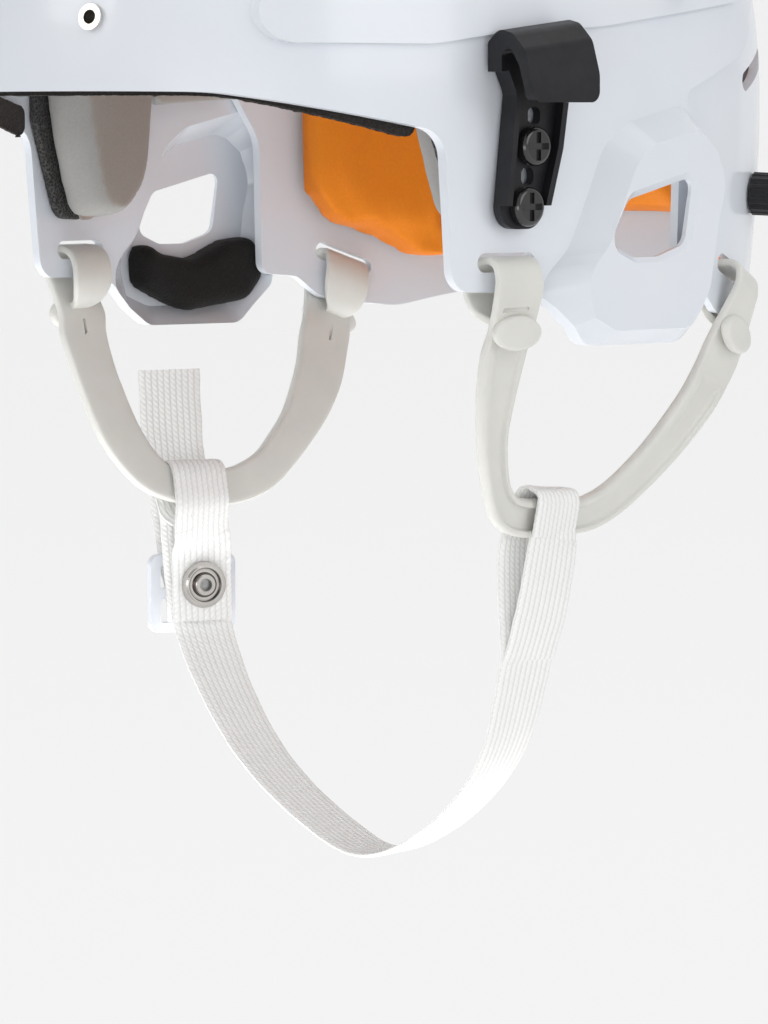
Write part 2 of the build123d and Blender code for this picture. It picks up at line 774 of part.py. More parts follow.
def temple_backing():
    """Firm foam layer between the shell and the temple pad, open over the nuts."""
    layer = hugging(side_prism(temple_backing_shares), -shell_wall - pad_gap, backing_thickness)
    plane = clip_plane()
    for level in clip_screw_levels():
        seat = plane * clip_spot(level)
        layer = layer - drill(seat.position, plane.z_dir, nut_flange_radius + pad_gap, overrun)
    return one_solid(layer)


def temple_pad():
    """Soft pad of the temple."""
    grow = -shell_wall - 2 * pad_gap - backing_thickness
    return crowned(hugging(side_prism(temple_pad_shares), grow, temple_pad_thickness), (-1, 0, 0))


def side_pad():
    """Soft pad above the ear, clear of the rear shell's front edge."""
    pad = hugging(side_prism(side_pad_shares), rear_inner_grow - slide_gap, side_pad_thickness)
    return crowned(pad, (-1, 0, 0))


def ear_pad():
    """Foam pad in the low part of the ear guard."""
    grow = guard_rise - shell_wall - pad_gap
    pad = hugging(side_prism(ear_pad_shares), grow, ear_pad_thickness)
    spread = ear_pad_thickness * math.tan(math.radians(guard_lean)) - 3 * pad_gap
    base = shell_half_width - guard_rise / 2 - shell_wall / math.sin(math.radians(guard_lean))
    room = leaning_prism(guard_shares, base - ear_pad_thickness, 3 * ear_pad_thickness, guard_lean,
                         True, spread)
    return crowned(one_solid(pad & room), (-1, 0, 0))


def rear_pad():
    """Side pad of the rear shell."""
    grow = rear_inner_grow - nut_flange_thickness - curved_seat_gap - pad_gap
    pad = hugging(side_prism(rear_pad_shares), grow, rear_pad_thickness)
    pad = crowned(pad, (-1, 0, 0), rear_pad_round)
    return one_solid(pad - strip_block(2 * pad_gap))


def front_box(low_x, high_x, low_z, high_z, front):
    """Block in the front view, ahead of the middle or behind it."""
    y = middle_y
    face = Face(Wire(Polyline((low_x, y, low_z), (high_x, y, low_z), (high_x, y, high_z),
                              (low_x, y, high_z), close=True).edges()))
    way = (0, -1, 0) if front else (0, 1, 0)
    return extrude(face, amount=shell_length, dir=way)


def brow_pad():
    """Forehead pad with a groove down its middle."""
    block = front_box(-brow_pad_half_width, brow_pad_half_width, brow_pad_low, brow_pad_high, True)
    grow = -shell_wall - trim_thickness - 2 * pad_gap
    pad = crowned(hugging(block, grow, brow_pad_thickness), (0, 1, 0))
    groove = front_box(-crown_channel_width / 2, crown_channel_width / 2, 0, brow_pad_high + overrun, True)
    cut = groove & dome(grow - brow_pad_thickness + crown_channel_depth)
    return one_solid(pad - cut)


def rear_centre_pad():
    """Pad at the back of the head."""
    block = front_box(-rear_centre_half_width, rear_centre_half_width, rear_centre_low,
                      rear_centre_high, False)
    return crowned(hugging(block, rear_inner_grow - pad_gap, rear_pad_thickness), (0, -1, 0))


def strip_block(gap):
    """Block of the left narrow pad, widened by a gap."""
    half = strip_half_width + gap
    return front_box(strip_x - half, strip_x + half, strip_low - gap, strip_high + gap, False)


def rear_strip_pads():
    """Two narrow pads between the side and centre pads of the rear shell."""
    pad = hugging(strip_block(0), rear_inner_grow - pad_gap, rear_strip_thickness)
    return both_sides([crowned(pad, (0, -1, 0), small_pad_round)])


def crown_pad(shares, grow, radius=pad_round):
    """Pad under the crown."""
    block = extrude(top_face(shares, crown_height / 3), amount=crown_height, dir=(0, 0, 1))
    return crowned(hugging(block, grow, crown_pad_thickness), (0, 0, -1), radius)


def crown_front_pad():
    """Pad of the front shell beside the midline of the crown."""
    return crown_pad(crown_pad_shares, -shell_wall - pad_gap, small_pad_round)


def crown_side_pad():
    """Pad of the front shell at the side of the crown."""
    return crown_pad(crown_side_pad_shares, -shell_wall - pad_gap, small_pad_round)


def crown_rear_pad():
    """Pad of the rear shell beside the midline of the crown."""
    return crown_pad(crown_rear_pad_shares, rear_inner_grow - pad_gap)


def loop_plane():
    """Middle plane of the left ear loop: along the helmet, up its lean, and outwards."""
    lean = math.radians(loop_lean)
    yaw = math.radians(loop_yaw)
    normal = Vector(math.cos(lean) * math.cos(yaw), math.cos(lean) * math.sin(yaw), -math.sin(lean))
    along = Vector(-math.sin(yaw), math.cos(yaw), 0)
    top_x = surface_x(front_slot_y, front_slot_z, 0) + loop_stand_out
    drop = front_slot_z - loop_centre_z
    centre_x = top_x - drop * math.tan(lean) - (loop_centre_y - front_slot_y) * math.sin(yaw)
    return Plane(origin=(centre_x, loop_centre_y, loop_centre_z), x_dir=along, z_dir=normal)


def on_loop(face):
    """Flat face on the loop's plane, given the band's thickness."""
    return extrude(loop_plane().offset(-loop_thickness / 2) * face, loop_thickness)


def loop_front_band():
    """Flat band of the ear loop's front leg and bottom arc."""
    slope = math.radians(rear_leg_slope)
    far = 2 * loop_outer_radius
    ring = Circle(loop_outer_radius) - Circle(loop_inner_radius)
    wedge = Polyline((0, 0), (-far, 0), (-far, -far), (far * math.sin(slope), -far),
                     (far * math.sin(slope), -far * math.cos(slope)), close=True)
    leg_top = (loop_top_z - loop_centre_z) / math.cos(math.radians(loop_lean))
    spread = loop_leg_width - (loop_outer_radius - loop_inner_radius)
    front_leg = Polyline((-loop_outer_radius, 0), (-loop_inner_radius, 0),
                         (-loop_inner_radius + spread, leg_top / 2),
                         (-loop_inner_radius + spread, leg_top), (-loop_outer_radius, leg_top),
                         close=True)
    return on_loop((ring & make_face(wedge.edges())) + make_face(front_leg.edges()))


def loop_rear_band():
    """Flat band of the ear loop's sloping rear leg."""
    slope = math.radians(rear_leg_slope)
    outer_y = loop_outer_radius * math.sin(slope)
    outer_z = -loop_outer_radius * math.cos(slope)
    inner_y = loop_inner_radius * math.sin(slope)
    inner_z = -loop_inner_radius * math.cos(slope)
    rise = (rear_leg_top_z - loop_centre_z) / math.cos(math.radians(loop_lean))
    outer_run = (rise - outer_z) / math.tan(slope)
    inner_run = (rise - inner_z) / math.tan(slope)
    rear_leg = Polyline((inner_y, inner_z), (outer_y, outer_z), (outer_y + outer_run, rise),
                        (inner_y + inner_run, rise), close=True)
    return on_loop(make_face(rear_leg.edges()))


def wrap(plane, inner, top_reach, low_reach):
    """Tab that goes in through a slot, down inside the wall and out again to its button."""
    half = tab_width / 2
    low = -wrap_height
    top_plate = block_on(plane, -half, half, -tab_thickness / 2, tab_thickness / 2, -inner, top_reach)
    inner_plate = block_on(plane, -half, half, low, tab_thickness / 2, -inner, tab_thickness - inner)
    low_plate = block_on(plane, -half / 2, half / 2, low, low + tab_thickness, -inner, low_reach)
    button_plane = plane * Pos(0, low + tab_thickness / 2, low_reach)
    button_plane = Plane(button_plane.position, plane.x_dir, plane.z_dir)
    button = extrude(button_plane * Ellipse(button_length / 2, button_height / 2), button_thickness)
    edges = button.edges().group_by(Axis(button_plane.origin, button_plane.z_dir))[-1]
    return top_plate + inner_plate + low_plate + fillet(edges, button_thickness / 3)


def block_on(plane, low_x, high_x, low_y, high_y, low_z, high_z):
    """Block between limits on a plane."""
    middle = Pos((low_x + high_x) / 2, (low_y + high_y) / 2, (low_z + high_z) / 2)
    return plane * middle * Box(high_x - low_x, high_y - low_y, high_z - low_z)


def slot_plane(y, z, tilt, grow):
    """Plane on the wall at a loop slot, along the slot and outwards."""
    normal = side_normal(y, z, 1, grow)
    along = Vector(0, 0, 1).cross(normal).normalized().rotate(Axis((0, 0, 0), normal), tilt)
    return Plane(origin=side_point(y, z, 1, grow), x_dir=along, z_dir=normal)


def reach_at(plane, low):
    """Distance from a slot plane out to the loop's outer face, at a height on that plane."""
    loop = loop_plane()
    start = (plane * Pos(0, low, 0)).position
    gap = (loop.origin - start).dot(loop.z_dir) / plane.z_dir.dot(loop.z_dir)
    return gap + loop_thickness / 2


def tabbed(band, plane):
    """Part of the loop with its tab wrapped through a slot, clear of both shells."""
    inner = shell_wall + tab_gap + tab_thickness
    low = tab_thickness - wrap_height
    guard_base = shell_half_width - guard_rise / 2
    guard = leaning_prism(guard_shares, guard_base, 2 * guard_rise + outline_round, guard_lean, True,
                          seat_gap)
    front_room = side_prism(front_shell_shares, seat_gap) & dome(seat_gap)
    rear_room = side_prism(rear_shell_shares, seat_gap) & dome(seat_gap - shell_wall - lap_gap)
    body = band - [front_room, rear_room, guard]
    return one_solid(body + wrap(plane, inner, reach_at(plane, 0), reach_at(plane, low)))


def ear_loop():
    """Front leg and bottom of the one-piece loop, with its tab in the front shell's slot."""
    return tabbed(loop_front_band(), slot_plane(front_slot_y, front_slot_z, 0, 0))


def ear_loop_rear():
    """Rear leg of the one-piece loop, with its tab in the rear shell's slot."""
    plane = slot_plane(rear_slot_y, rear_slot_z, rear_slot_tilt, -shell_wall - lap_gap)
    return tabbed(loop_rear_band(), plane)


def ribbon(points, twists, width, thickness):
    """Webbing through points, its width turned about the upright by each twist."""
    sections = []
    last = len(points) - 1
    for index, point in enumerate(points):
        before = Vector(points[max(index - 1, 0)])
        after = Vector(points[min(index + 1, last)])
        way = (after - before).normalized()
        across = Vector(0, 1, 0).rotate(Axis.Z, -twists[index])
        across = (across - way * across.dot(way)).normalized()
        plane = Plane(origin=point, x_dir=across, z_dir=way)
        sections.append(plane * Rectangle(width, thickness))
    return Solid.make_loft([section.faces()[0].outer_wire() for section in sections], True)


def sleeve(side, y):
    """Webbing wrapped about the bottom of a loop, centred at a place along it."""
    plane = loop_plane()
    middle = (loop_outer_radius + loop_inner_radius) / 2
    angle = math.degrees(math.asin((y - loop_centre_y) / middle))
    turn = math.degrees(webbing_width / middle)
    hollow = loop_outer_radius - loop_inner_radius + fold_clearance + fold_seat_gap
    deep = loop_thickness + 2 * fold_clearance
    wall = 2 * webbing_thickness
    section = RectangleRounded(hollow + wall, deep + wall, webbing_thickness * 3 / 2)
    section = section - RectangleRounded(hollow, deep, webbing_thickness / 2)
    section = Pos((fold_clearance - fold_seat_gap) / 2, 0) * section
    start = angle - turn / 2
    radial = plane.x_dir.rotate(Axis((0, 0, 0), plane.z_dir), start - 90)
    face_plane = Plane(origin=plane.origin + radial * middle, x_dir=radial,
                       z_dir=radial.cross(plane.z_dir))
    body = revolve(face_plane * section, Axis(plane.origin, plane.z_dir), turn)
    return body if side > 0 else mirrored(body)


def chin_strap():
    """Webbing from the left loop, under the chin and up to the right loop, with both sewn folds."""
    body = sleeve(1, fold_y) + sleeve(-1, flap_y)
    for route in (fold_front_route, fold_back_route, strap_route):
        points = [place[:3] for place in route]
        twists = [place[3] for place in route]
        body = body + ribbon(points, twists, webbing_width, webbing_thickness)
    return one_solid(body)


def snap_flap():
    """Free end of the webbing, folded over the right loop and closed with the snap."""
    points = [place[:3] for place in flap_route]
    twists = [place[3] for place in flap_route]
    return ribbon(points, twists, webbing_width, webbing_thickness)


def strap_tail():
    """Spare webbing that comes through the slider and stands behind the loop."""
    points = [place[:3] for place in tail_route]
    twists = [place[3] for place in tail_route]
    return ribbon(points, twists, webbing_width, webbing_thickness)


def twisted_plane(point, twist):
    """Upright plane facing the wearer's left, turned about the upright."""
    normal = Vector(1, 0, 0).rotate(Axis.Z, -twist)
    return Plane(origin=point, x_dir=Vector(0, 0, 1).cross(normal), z_dir=normal)


def slider():
    """Plastic frame with two windows and a bar between them."""
    plane = twisted_plane(slider_place, flap_twist).offset(-slider_thickness / 2)
    window_height = (slider_height - 3 * slider_bar) / 2
    window = RectangleRounded(slider_width - 2 * slider_bar, window_height, slider_bar / 3)
    step = (window_height + slider_bar) / 2
    frame = RectangleRounded(slider_width, slider_height, slider_bar)
    frame = frame - Pos(0, step) * window - Pos(0, -step) * window
    return one_solid(extrude(plane * frame, slider_thickness))


def snap_cap():
    """Pressed metal cap with two raised rings and a hole, on the flap."""
    plane = twisted_plane(snap_place, flap_twist).offset(webbing_thickness / 2 + snap_gap)
    body = extrude(plane * Circle(snap_radius), snap_height * snap_step_shares[0][1])
    for radius_share, height_share in snap_step_shares:
        body = body + extrude(plane * Circle(snap_radius * radius_share), snap_height * height_share)
    ring = Circle(snap_radius * snap_groove_share) - Circle(snap_radius * snap_rim_share)
    body = body - extrude(plane.offset(snap_height * snap_step_shares[0][1]) * ring, snap_height)
    return one_solid(body - extrude(plane * Circle(snap_hole), snap_height))


def snap_socket():
    """Metal socket between the flap and the webbing behind it."""
    plane = twisted_plane(snap_place, flap_twist).offset(-webbing_thickness / 2 - snap_gap)
    body = extrude(plane * Circle(snap_radius * snap_socket_share), -snap_socket_depth)
    rim = plane.offset(-snap_socket_depth) * Circle(snap_radius)
    return one_solid(body + extrude(rim, snap_height * snap_step_shares[0][1]))


def right(maker):
    """Maker of the mirrored piece."""
    return lambda: mirrored(maker())


nodes = {
    "front_shell": front_shell,
    "rear_shell": rear_shell,
    "cage_clip_left": cage_clip,
    "cage_clip_right": right(cage_clip),
    "clip_screws": clip_screws,
    "clip_nuts": clip_nuts,
    "size_screws": size_screws,
    "size_nuts": size_nuts,
    "visor_inserts": visor_inserts,
    "visor_screw": visor_screw,
    "lock_knob_left": lock_knob,
    "lock_knob_right": right(lock_knob),
    "knob_studs": knob_studs,
    "brow_trim": brow_trim,
    "brow_pad": brow_pad,
    "temple_backing_left": temple_backing,
    "temple_backing_right": right(temple_backing),
    "temple_pad_left": temple_pad,
    "temple_pad_right": right(temple_pad),
    "side_pad_left": side_pad,
    "side_pad_right": right(side_pad),
    "ear_pad_left": ear_pad,
    "ear_pad_right": right(ear_pad),
    "crown_pad_left": crown_front_pad,
    "crown_pad_right": right(crown_front_pad),
    "crown_side_pad_left": crown_side_pad,
    "crown_side_pad_right": right(crown_side_pad),
    "crown_rear_pad_left": crown_rear_pad,
    "crown_rear_pad_right": right(crown_rear_pad),
    "rear_pad_left": rear_pad,
    "rear_pad_right": right(rear_pad),
    "rear_centre_pad": rear_centre_pad,
    "rear_strip_pads": rear_strip_pads,
    "ear_loop_left": ear_loop,
    "ear_loop_right": right(ear_loop),
    "ear_loop_rear_left": ear_loop_rear,
    "ear_loop_rear_right": right(ear_loop_rear),
    "chin_strap": chin_strap,
    "snap_flap": snap_flap,
    "snap_cap": snap_cap,
    "snap_socket": snap_socket,
    "strap_slider": slider,
    "strap_tail": strap_tail,
}


def main():
    os.makedirs("parts", exist_ok=True)
    for name, maker in nodes.items():
        export_step(maker(), f"parts/{name}.step")


main()
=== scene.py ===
# %% [markdown]
# An ice hockey helmet in two sliding shells, seen from below the front left.
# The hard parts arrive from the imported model, at their real size, in metres.
# This lesson gives them their finishes, and makes the soft parts by hand.

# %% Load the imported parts
import math
import bpy
import bmesh
from mathutils import Matrix, Vector


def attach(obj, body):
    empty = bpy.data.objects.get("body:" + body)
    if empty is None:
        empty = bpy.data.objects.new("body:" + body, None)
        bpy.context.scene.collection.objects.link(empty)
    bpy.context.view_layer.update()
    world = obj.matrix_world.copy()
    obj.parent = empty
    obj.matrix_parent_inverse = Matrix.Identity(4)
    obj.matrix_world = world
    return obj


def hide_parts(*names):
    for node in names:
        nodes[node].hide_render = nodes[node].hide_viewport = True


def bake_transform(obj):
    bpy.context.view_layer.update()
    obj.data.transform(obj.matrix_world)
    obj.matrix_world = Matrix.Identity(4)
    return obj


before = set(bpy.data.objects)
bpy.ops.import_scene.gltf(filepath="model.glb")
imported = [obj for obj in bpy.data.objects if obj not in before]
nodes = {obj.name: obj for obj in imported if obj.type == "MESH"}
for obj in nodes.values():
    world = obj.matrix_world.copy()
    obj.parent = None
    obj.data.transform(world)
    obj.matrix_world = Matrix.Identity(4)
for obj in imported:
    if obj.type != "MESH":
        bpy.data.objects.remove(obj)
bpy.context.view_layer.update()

# %% [markdown]
# The camera comes first, because every later choice is judged through it.
# The picture was taken a little over a metre away, level with the brow, from the
# wearer's front left. A long lens keeps the far and near sides almost alike.

# %% Camera
scene = bpy.context.scene
camera_data = bpy.data.cameras.new("photo_camera")
camera_data.lens = 148.6
camera_data.clip_start = 0.05
camera_data.clip_end = 30.0
camera = bpy.data.objects.new("photo_camera", camera_data)
scene.collection.objects.link(camera)
camera.location = (0.8713, -0.9377, 0.0)
camera.rotation_euler = (math.radians(90 - 5.28), 0, math.radians(42.4))
scene.camera = camera
scene.view_settings.view_transform = "Standard"
print("camera", tuple(camera.location))

# %% [markdown]
# The floor and the backdrop are one plain pale sheet each. To the camera and to
# glossy reflections they are an even pale grey, so no extra lamp has to whiten them,
# and a share of plain diffuse keeps the helmet's soft shadow.

# %% Floor and backdrop
def select_only(*things):
    """Deselect all, then select these and make the first one active."""
    bpy.ops.object.select_all(action="DESELECT")
    for thing in things:
        thing.select_set(True)
    bpy.context.view_layer.objects.active = things[0]


def pale_sheet_finish():
    """Even pale grey for the camera, plain diffuse for everything else."""
    finish = bpy.data.materials.new("pale_sheet")
    finish.use_nodes = True
    tree = finish.node_tree
    tree.nodes.clear()
    out = tree.nodes.new("ShaderNodeOutputMaterial")
    matte = tree.nodes.new("ShaderNodeBsdfDiffuse")
    matte.inputs["Color"].default_value = (0.86, 0.86, 0.86, 1)
    glow = tree.nodes.new("ShaderNodeEmission")
    glow.inputs["Color"].default_value = (0.935, 0.935, 0.935, 1)
    path = tree.nodes.new("ShaderNodeLightPath")
    seen = tree.nodes.new("ShaderNodeMath")
    seen.operation = "MAXIMUM"
    both = tree.nodes.new("ShaderNodeMath")
    both.operation = "MULTIPLY"
    both.inputs[1].default_value = 0.86
    mix = tree.nodes.new("ShaderNodeMixShader")
    tree.links.new(path.outputs["Is Camera Ray"], seen.inputs[0])
    tree.links.new(path.outputs["Is Glossy Ray"], seen.inputs[1])
    tree.links.new(seen.outputs[0], both.inputs[0])
    tree.links.new(both.outputs[0], mix.inputs["Fac"])
    tree.links.new(matte.outputs[0], mix.inputs[1])
    tree.links.new(glow.outputs[0], mix.inputs[2])
    tree.links.new(mix.outputs[0], out.inputs["Surface"])
    return finish


floor_level = -0.33
pale_sheet = pale_sheet_finish()
bpy.ops.object.select_all(action="DESELECT")
bpy.ops.mesh.primitive_plane_add(size=12, location=(0, 0, floor_level))
floor = bpy.context.object
floor.name = "floor"
backdrop_turn = (math.radians(90), 0, math.radians(42))
bpy.ops.mesh.primitive_plane_add(size=12, location=(-3.6, 4.0, 2.0), rotation=backdrop_turn)
backdrop = bpy.context.object
backdrop.name = "backdrop"
for sheet in (floor, backdrop):
    sheet.data.materials.append(pale_sheet)
print("floor at", floor_level)

# %% [markdown]
# White gloss shows its form only by what it mirrors, so the studio has large soft
# lamps: one high at the left of the camera, one wide from the right and one above and
# behind. One low in front and one below the opening lift the inside, as a pale table does.

# %% Lamps and world
def soft_lamp(name, place, target, width, height, power):
    """Rectangular lamp turned towards a target."""
    data = bpy.data.lights.new(name, "AREA")
    data.shape = "RECTANGLE"
    data.size = width
    data.size_y = height
    data.energy = power
    lamp = bpy.data.objects.new(name, data)
    scene.collection.objects.link(lamp)
    lamp.location = place
    lamp.rotation_euler = (Vector(target) - Vector(place)).to_track_quat("-Z", "Y").to_euler()
    return lamp


soft_lamp("lamp_left", (-0.9, -1.7, 0.9), (0, 0, -0.05), 1.0, 1.0, 6.5)
soft_lamp("lamp_right", (1.9, 0.2, 0.7), (0, 0, -0.05), 1.2, 1.2, 8)
soft_lamp("lamp_top", (0.2, 0.4, 1.9), (0, 0, 0), 1.6, 1.6, 6)
soft_lamp("lamp_low", (0.9, -1.1, -0.25), (0, 0, -0.02), 1.2, 0.6, 5.5)
under = soft_lamp("lamp_under", (-0.02, 0.02, -0.325), (0, 0.02, 0), 0.5, 0.5, 2.2)
under.visible_camera = False
under.visible_glossy = False
world = bpy.data.worlds.new("studio")
scene.world = world
world.use_nodes = True
world.node_tree.nodes["Background"].inputs["Color"].default_value = (1.0, 1.0, 1.0, 1)
world.node_tree.nodes["Background"].inputs["Strength"].default_value = 0.61

# %% [markdown]
# Every finish is built from the same few steps: a principled shader, one or two
# noises on object coordinates for the surface's own unevenness, and a bump.
# Small helpers keep each recipe short.

# %% Helpers for finishes
def start_finish(name, color, rough, metal=0.0):
    """Material with a principled shader; gives the material, its tree and the shader."""
    finish = bpy.data.materials.new(name)
    finish.use_nodes = True
    tree = finish.node_tree
    shader = tree.nodes["Principled BSDF"]
    shader.inputs["Base Color"].default_value = (*color, 1)
    shader.inputs["Roughness"].default_value = rough
    shader.inputs["Metallic"].default_value = metal
    return finish, tree, shader


def object_noise(tree, scale, detail=3.0, rough=0.55, stretch=None):
    """Noise on object coordinates; scale counts per metre."""
    place = tree.nodes.new("ShaderNodeTexCoord")
    mapping = tree.nodes.new("ShaderNodeMapping")
    if stretch:
        mapping.inputs["Scale"].default_value = stretch
    noise = tree.nodes.new("ShaderNodeTexNoise")
    noise.inputs["Scale"].default_value = scale
    noise.inputs["Detail"].default_value = detail
    noise.inputs["Roughness"].default_value = rough
    tree.links.new(place.outputs["Object"], mapping.inputs["Vector"])
    tree.links.new(mapping.outputs[0], noise.inputs["Vector"])
    return noise.outputs["Fac"]


def vary_color(tree, shader, factor, low, high, start=0.3, end=0.7):
    """Base colour that drifts between two colours with a factor."""
    ramp = tree.nodes.new("ShaderNodeValToRGB")
    ramp.color_ramp.elements[0].color = (*low, 1)
    ramp.color_ramp.elements[1].color = (*high, 1)
    ramp.color_ramp.elements[0].position = start
    ramp.color_ramp.elements[1].position = end
    tree.links.new(factor, ramp.inputs["Fac"])
    tree.links.new(ramp.outputs["Color"], shader.inputs["Base Color"])


def vary_rough(tree, shader, factor, low, high):
    """Roughness that drifts between two values with a factor."""
    span = tree.nodes.new("ShaderNodeMapRange")
    span.inputs["To Min"].default_value = low
    span.inputs["To Max"].default_value = high
    tree.links.new(factor, span.inputs["Value"])
    tree.links.new(span.outputs[0], shader.inputs["Roughness"])


def add_bump(tree, shader, height, strength, distance, before=None):
    """Bump from a height, on top of an earlier bump."""
    bump = tree.nodes.new("ShaderNodeBump")
    bump.inputs["Strength"].default_value = strength
    bump.inputs["Distance"].default_value = distance
    tree.links.new(height, bump.inputs["Height"])
    if before:
        tree.links.new(before, bump.inputs["Normal"])
    tree.links.new(bump.outputs[0], shader.inputs["Normal"])
    return bump.outputs[0]


# %% [markdown]
# The shells are injection moulded and polished: white with a cool cast, glossy, with
# the faint waviness that a mould leaves, and a few hair scratches from handling.

# %% Shell finish
def shell_finish():
    """Glossy white moulding with a cool cast."""
    finish, tree, shader = start_finish("shell_white", (0.74, 0.775, 0.83), 0.2)
    shader.inputs["Coat Weight"].default_value = 0.35
    shader.inputs["Coat Roughness"].default_value = 0.06
    shader.inputs["Subsurface Weight"].default_value = 0.04
    shader.inputs["Subsurface Radius"].default_value = (0.004, 0.004, 0.005)
    wave = object_noise(tree, 22, 2.0)
    vary_color(tree, shader, wave, (0.725, 0.765, 0.825), (0.755, 0.785, 0.835))
    scratch = object_noise(tree, 60, 6.0, 0.7, (1, 1, 9))
    vary_rough(tree, shader, scratch, 0.15, 0.27)
    first = add_bump(tree, shader, wave, 0.05, 0.002)
    add_bump(tree, shader, object_noise(tree, 900, 2.0), 0.03, 0.0003, first)
    return finish


shell_white = shell_finish()
print("finish", shell_white.name)

# %% [markdown]
# The cage clips and the thumb knobs are black plastic: the clips fine-grained and
# matte, the knobs a little smoother. The screws are black coated steel that shines,
# and the nuts and studs are plain plated steel.

# %% Black plastic and steel finishes
def matte_black_finish(name, rough, grain):
    """Black moulding with a fine grain."""
    finish, tree, shader = start_finish(name, (0.011, 0.011, 0.013), rough)
    shader.inputs["Specular IOR Level"].default_value = 0.3
    speck = object_noise(tree, 2600, 2.0)
    vary_color(tree, shader, object_noise(tree, 140), (0.008, 0.008, 0.010), (0.015, 0.015, 0.018))
    vary_rough(tree, shader, object_noise(tree, 300), rough - 0.06, rough + 0.07)
    add_bump(tree, shader, speck, grain, 0.0002)
    return finish


def screw_finish(name, color, rough, metal, coat=0.0):
    """Turned metal, bright or under a coat."""
    finish, tree, shader = start_finish(name, color, rough, metal)
    shader.inputs["Coat Weight"].default_value = coat
    shader.inputs["Coat Roughness"].default_value = 0.08
    wear = object_noise(tree, 420, 5.0, 0.65)
    vary_rough(tree, shader, wear, rough - 0.05, rough + 0.12)
    add_bump(tree, shader, object_noise(tree, 1500, 2.0), 0.08, 0.0001)
    return finish


def snap_painted_shade_finish(middle, axis):
    """Nickel, painted dark in its middle hole and in the grooves between the rings as painted shade, and
    darker again towards the rim.
    """
    finish, tree, shader = start_finish("snap_nickel_painted_shade", (0.62, 0.60, 0.58), 0.16, 1.0)
    place = tree.nodes.new("ShaderNodeTexCoord")
    away = tree.nodes.new("ShaderNodeVectorMath")
    away.operation = "SUBTRACT"
    away.inputs[1].default_value = middle
    cross = tree.nodes.new("ShaderNodeVectorMath")
    cross.operation = "CROSS_PRODUCT"
    cross.inputs[1].default_value = axis
    size = tree.nodes.new("ShaderNodeVectorMath")
    size.operation = "LENGTH"
    tree.links.new(place.outputs["Object"], away.inputs[0])
    tree.links.new(away.outputs[0], cross.inputs[0])
    tree.links.new(cross.outputs[0], size.inputs[0])
    span = tree.nodes.new("ShaderNodeMapRange")
    span.inputs["From Max"].default_value = 0.008
    tree.links.new(size.outputs["Value"], span.inputs["Value"])
    # The ramp paints the middle hole and the grooves between the rings dark: painted shade.
    ramp = tree.nodes.new("ShaderNodeValToRGB")
    ramp.color_ramp.elements[0].color = (0.012, 0.011, 0.010, 1)
    ramp.color_ramp.elements[0].position = 0.22
    ramp.color_ramp.elements[1].color = (0.62, 0.60, 0.58, 1)
    ramp.color_ramp.elements[1].position = 0.27
    for spot, shade in ((0.40, (0.66, 0.64, 0.62)), (0.43, (0.09, 0.07, 0.06)), (0.49, (0.12, 0.10, 0.09)),
                        (0.53, (0.70, 0.68, 0.66)), (0.63, (0.5, 0.48, 0.46)), (0.67, (0.10, 0.09, 0.08)),
                        (0.71, (0.68, 0.66, 0.64)), (0.92, (0.55, 0.53, 0.51)), (0.97, (0.2, 0.19, 0.18))):
        stop = ramp.color_ramp.elements.new(spot)
        stop.color = (*shade, 1)
    tree.links.new(span.outputs[0], ramp.inputs["Fac"])
    tree.links.new(ramp.outputs["Color"], shader.inputs["Base Color"])
    vary_rough(tree, shader, object_noise(tree, 600, 4.0), 0.12, 0.26)
    add_bump(tree, shader, object_noise(tree, 1500, 2.0), 0.08, 0.0001)
    return finish


clip_black = matte_black_finish("clip_black", 0.42, 0.22)
knob_black = matte_black_finish("knob_black", 0.34, 0.10)
screw_black = screw_finish("screw_black", (0.012, 0.012, 0.013), 0.16, 0.0, 0.6)
nut_steel = screw_finish("nut_steel", (0.52, 0.52, 0.50), 0.34, 1.0)
nickel = screw_finish("nickel", (0.72, 0.69, 0.63), 0.14, 1.0)
snap_nickel_painted_shade = snap_painted_shade_finish((-0.0726, 0.0101, -0.1465), (0.921, -0.391, 0.0))
print("finishes", clip_black.name, knob_black.name, screw_black.name, nut_steel.name, nickel.name)

# %% [markdown]
# Foam comes in three kinds: black closed cell pads in the ear guards, firm black
# backing with glittering cut cells, and soft edge foam under the brow. Cells are a
# fine Voronoi pattern, small enough to read as pores.

# %% Foam finishes
def foam_finish(name, dark, light, cells, depth):
    """Foam with fine cells and a dull surface."""
    finish, tree, shader = start_finish(name, dark, 0.85)
    shader.inputs["Sheen Weight"].default_value = 0.06
    shader.inputs["Sheen Roughness"].default_value = 0.5
    shader.inputs["Specular IOR Level"].default_value = 0.25
    place = tree.nodes.new("ShaderNodeTexCoord")
    pores = tree.nodes.new("ShaderNodeTexVoronoi")
    pores.inputs["Scale"].default_value = cells
    tree.links.new(place.outputs["Object"], pores.inputs["Vector"])
    vary_color(tree, shader, pores.outputs["Distance"], dark, light, 0.2, 0.75)
    add_bump(tree, shader, pores.outputs["Distance"], depth, 0.0005)
    return finish


foam_black = foam_finish("foam_black", (0.004, 0.0038, 0.0036), (0.009, 0.0085, 0.008), 1500, 0.3)
foam_backing = foam_finish("foam_backing", (0.012, 0.012, 0.012), (0.075, 0.073, 0.07), 1300, 0.7)
foam_edge = foam_finish("foam_edge", (0.016, 0.014, 0.013), (0.034, 0.030, 0.027), 1500, 0.3)
print("foams", foam_black.name, foam_backing.name, foam_edge.name)

# %% [markdown]
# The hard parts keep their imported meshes, and only their material changes. One table
# says which parts share a finish, so a new finish is tried in one place.

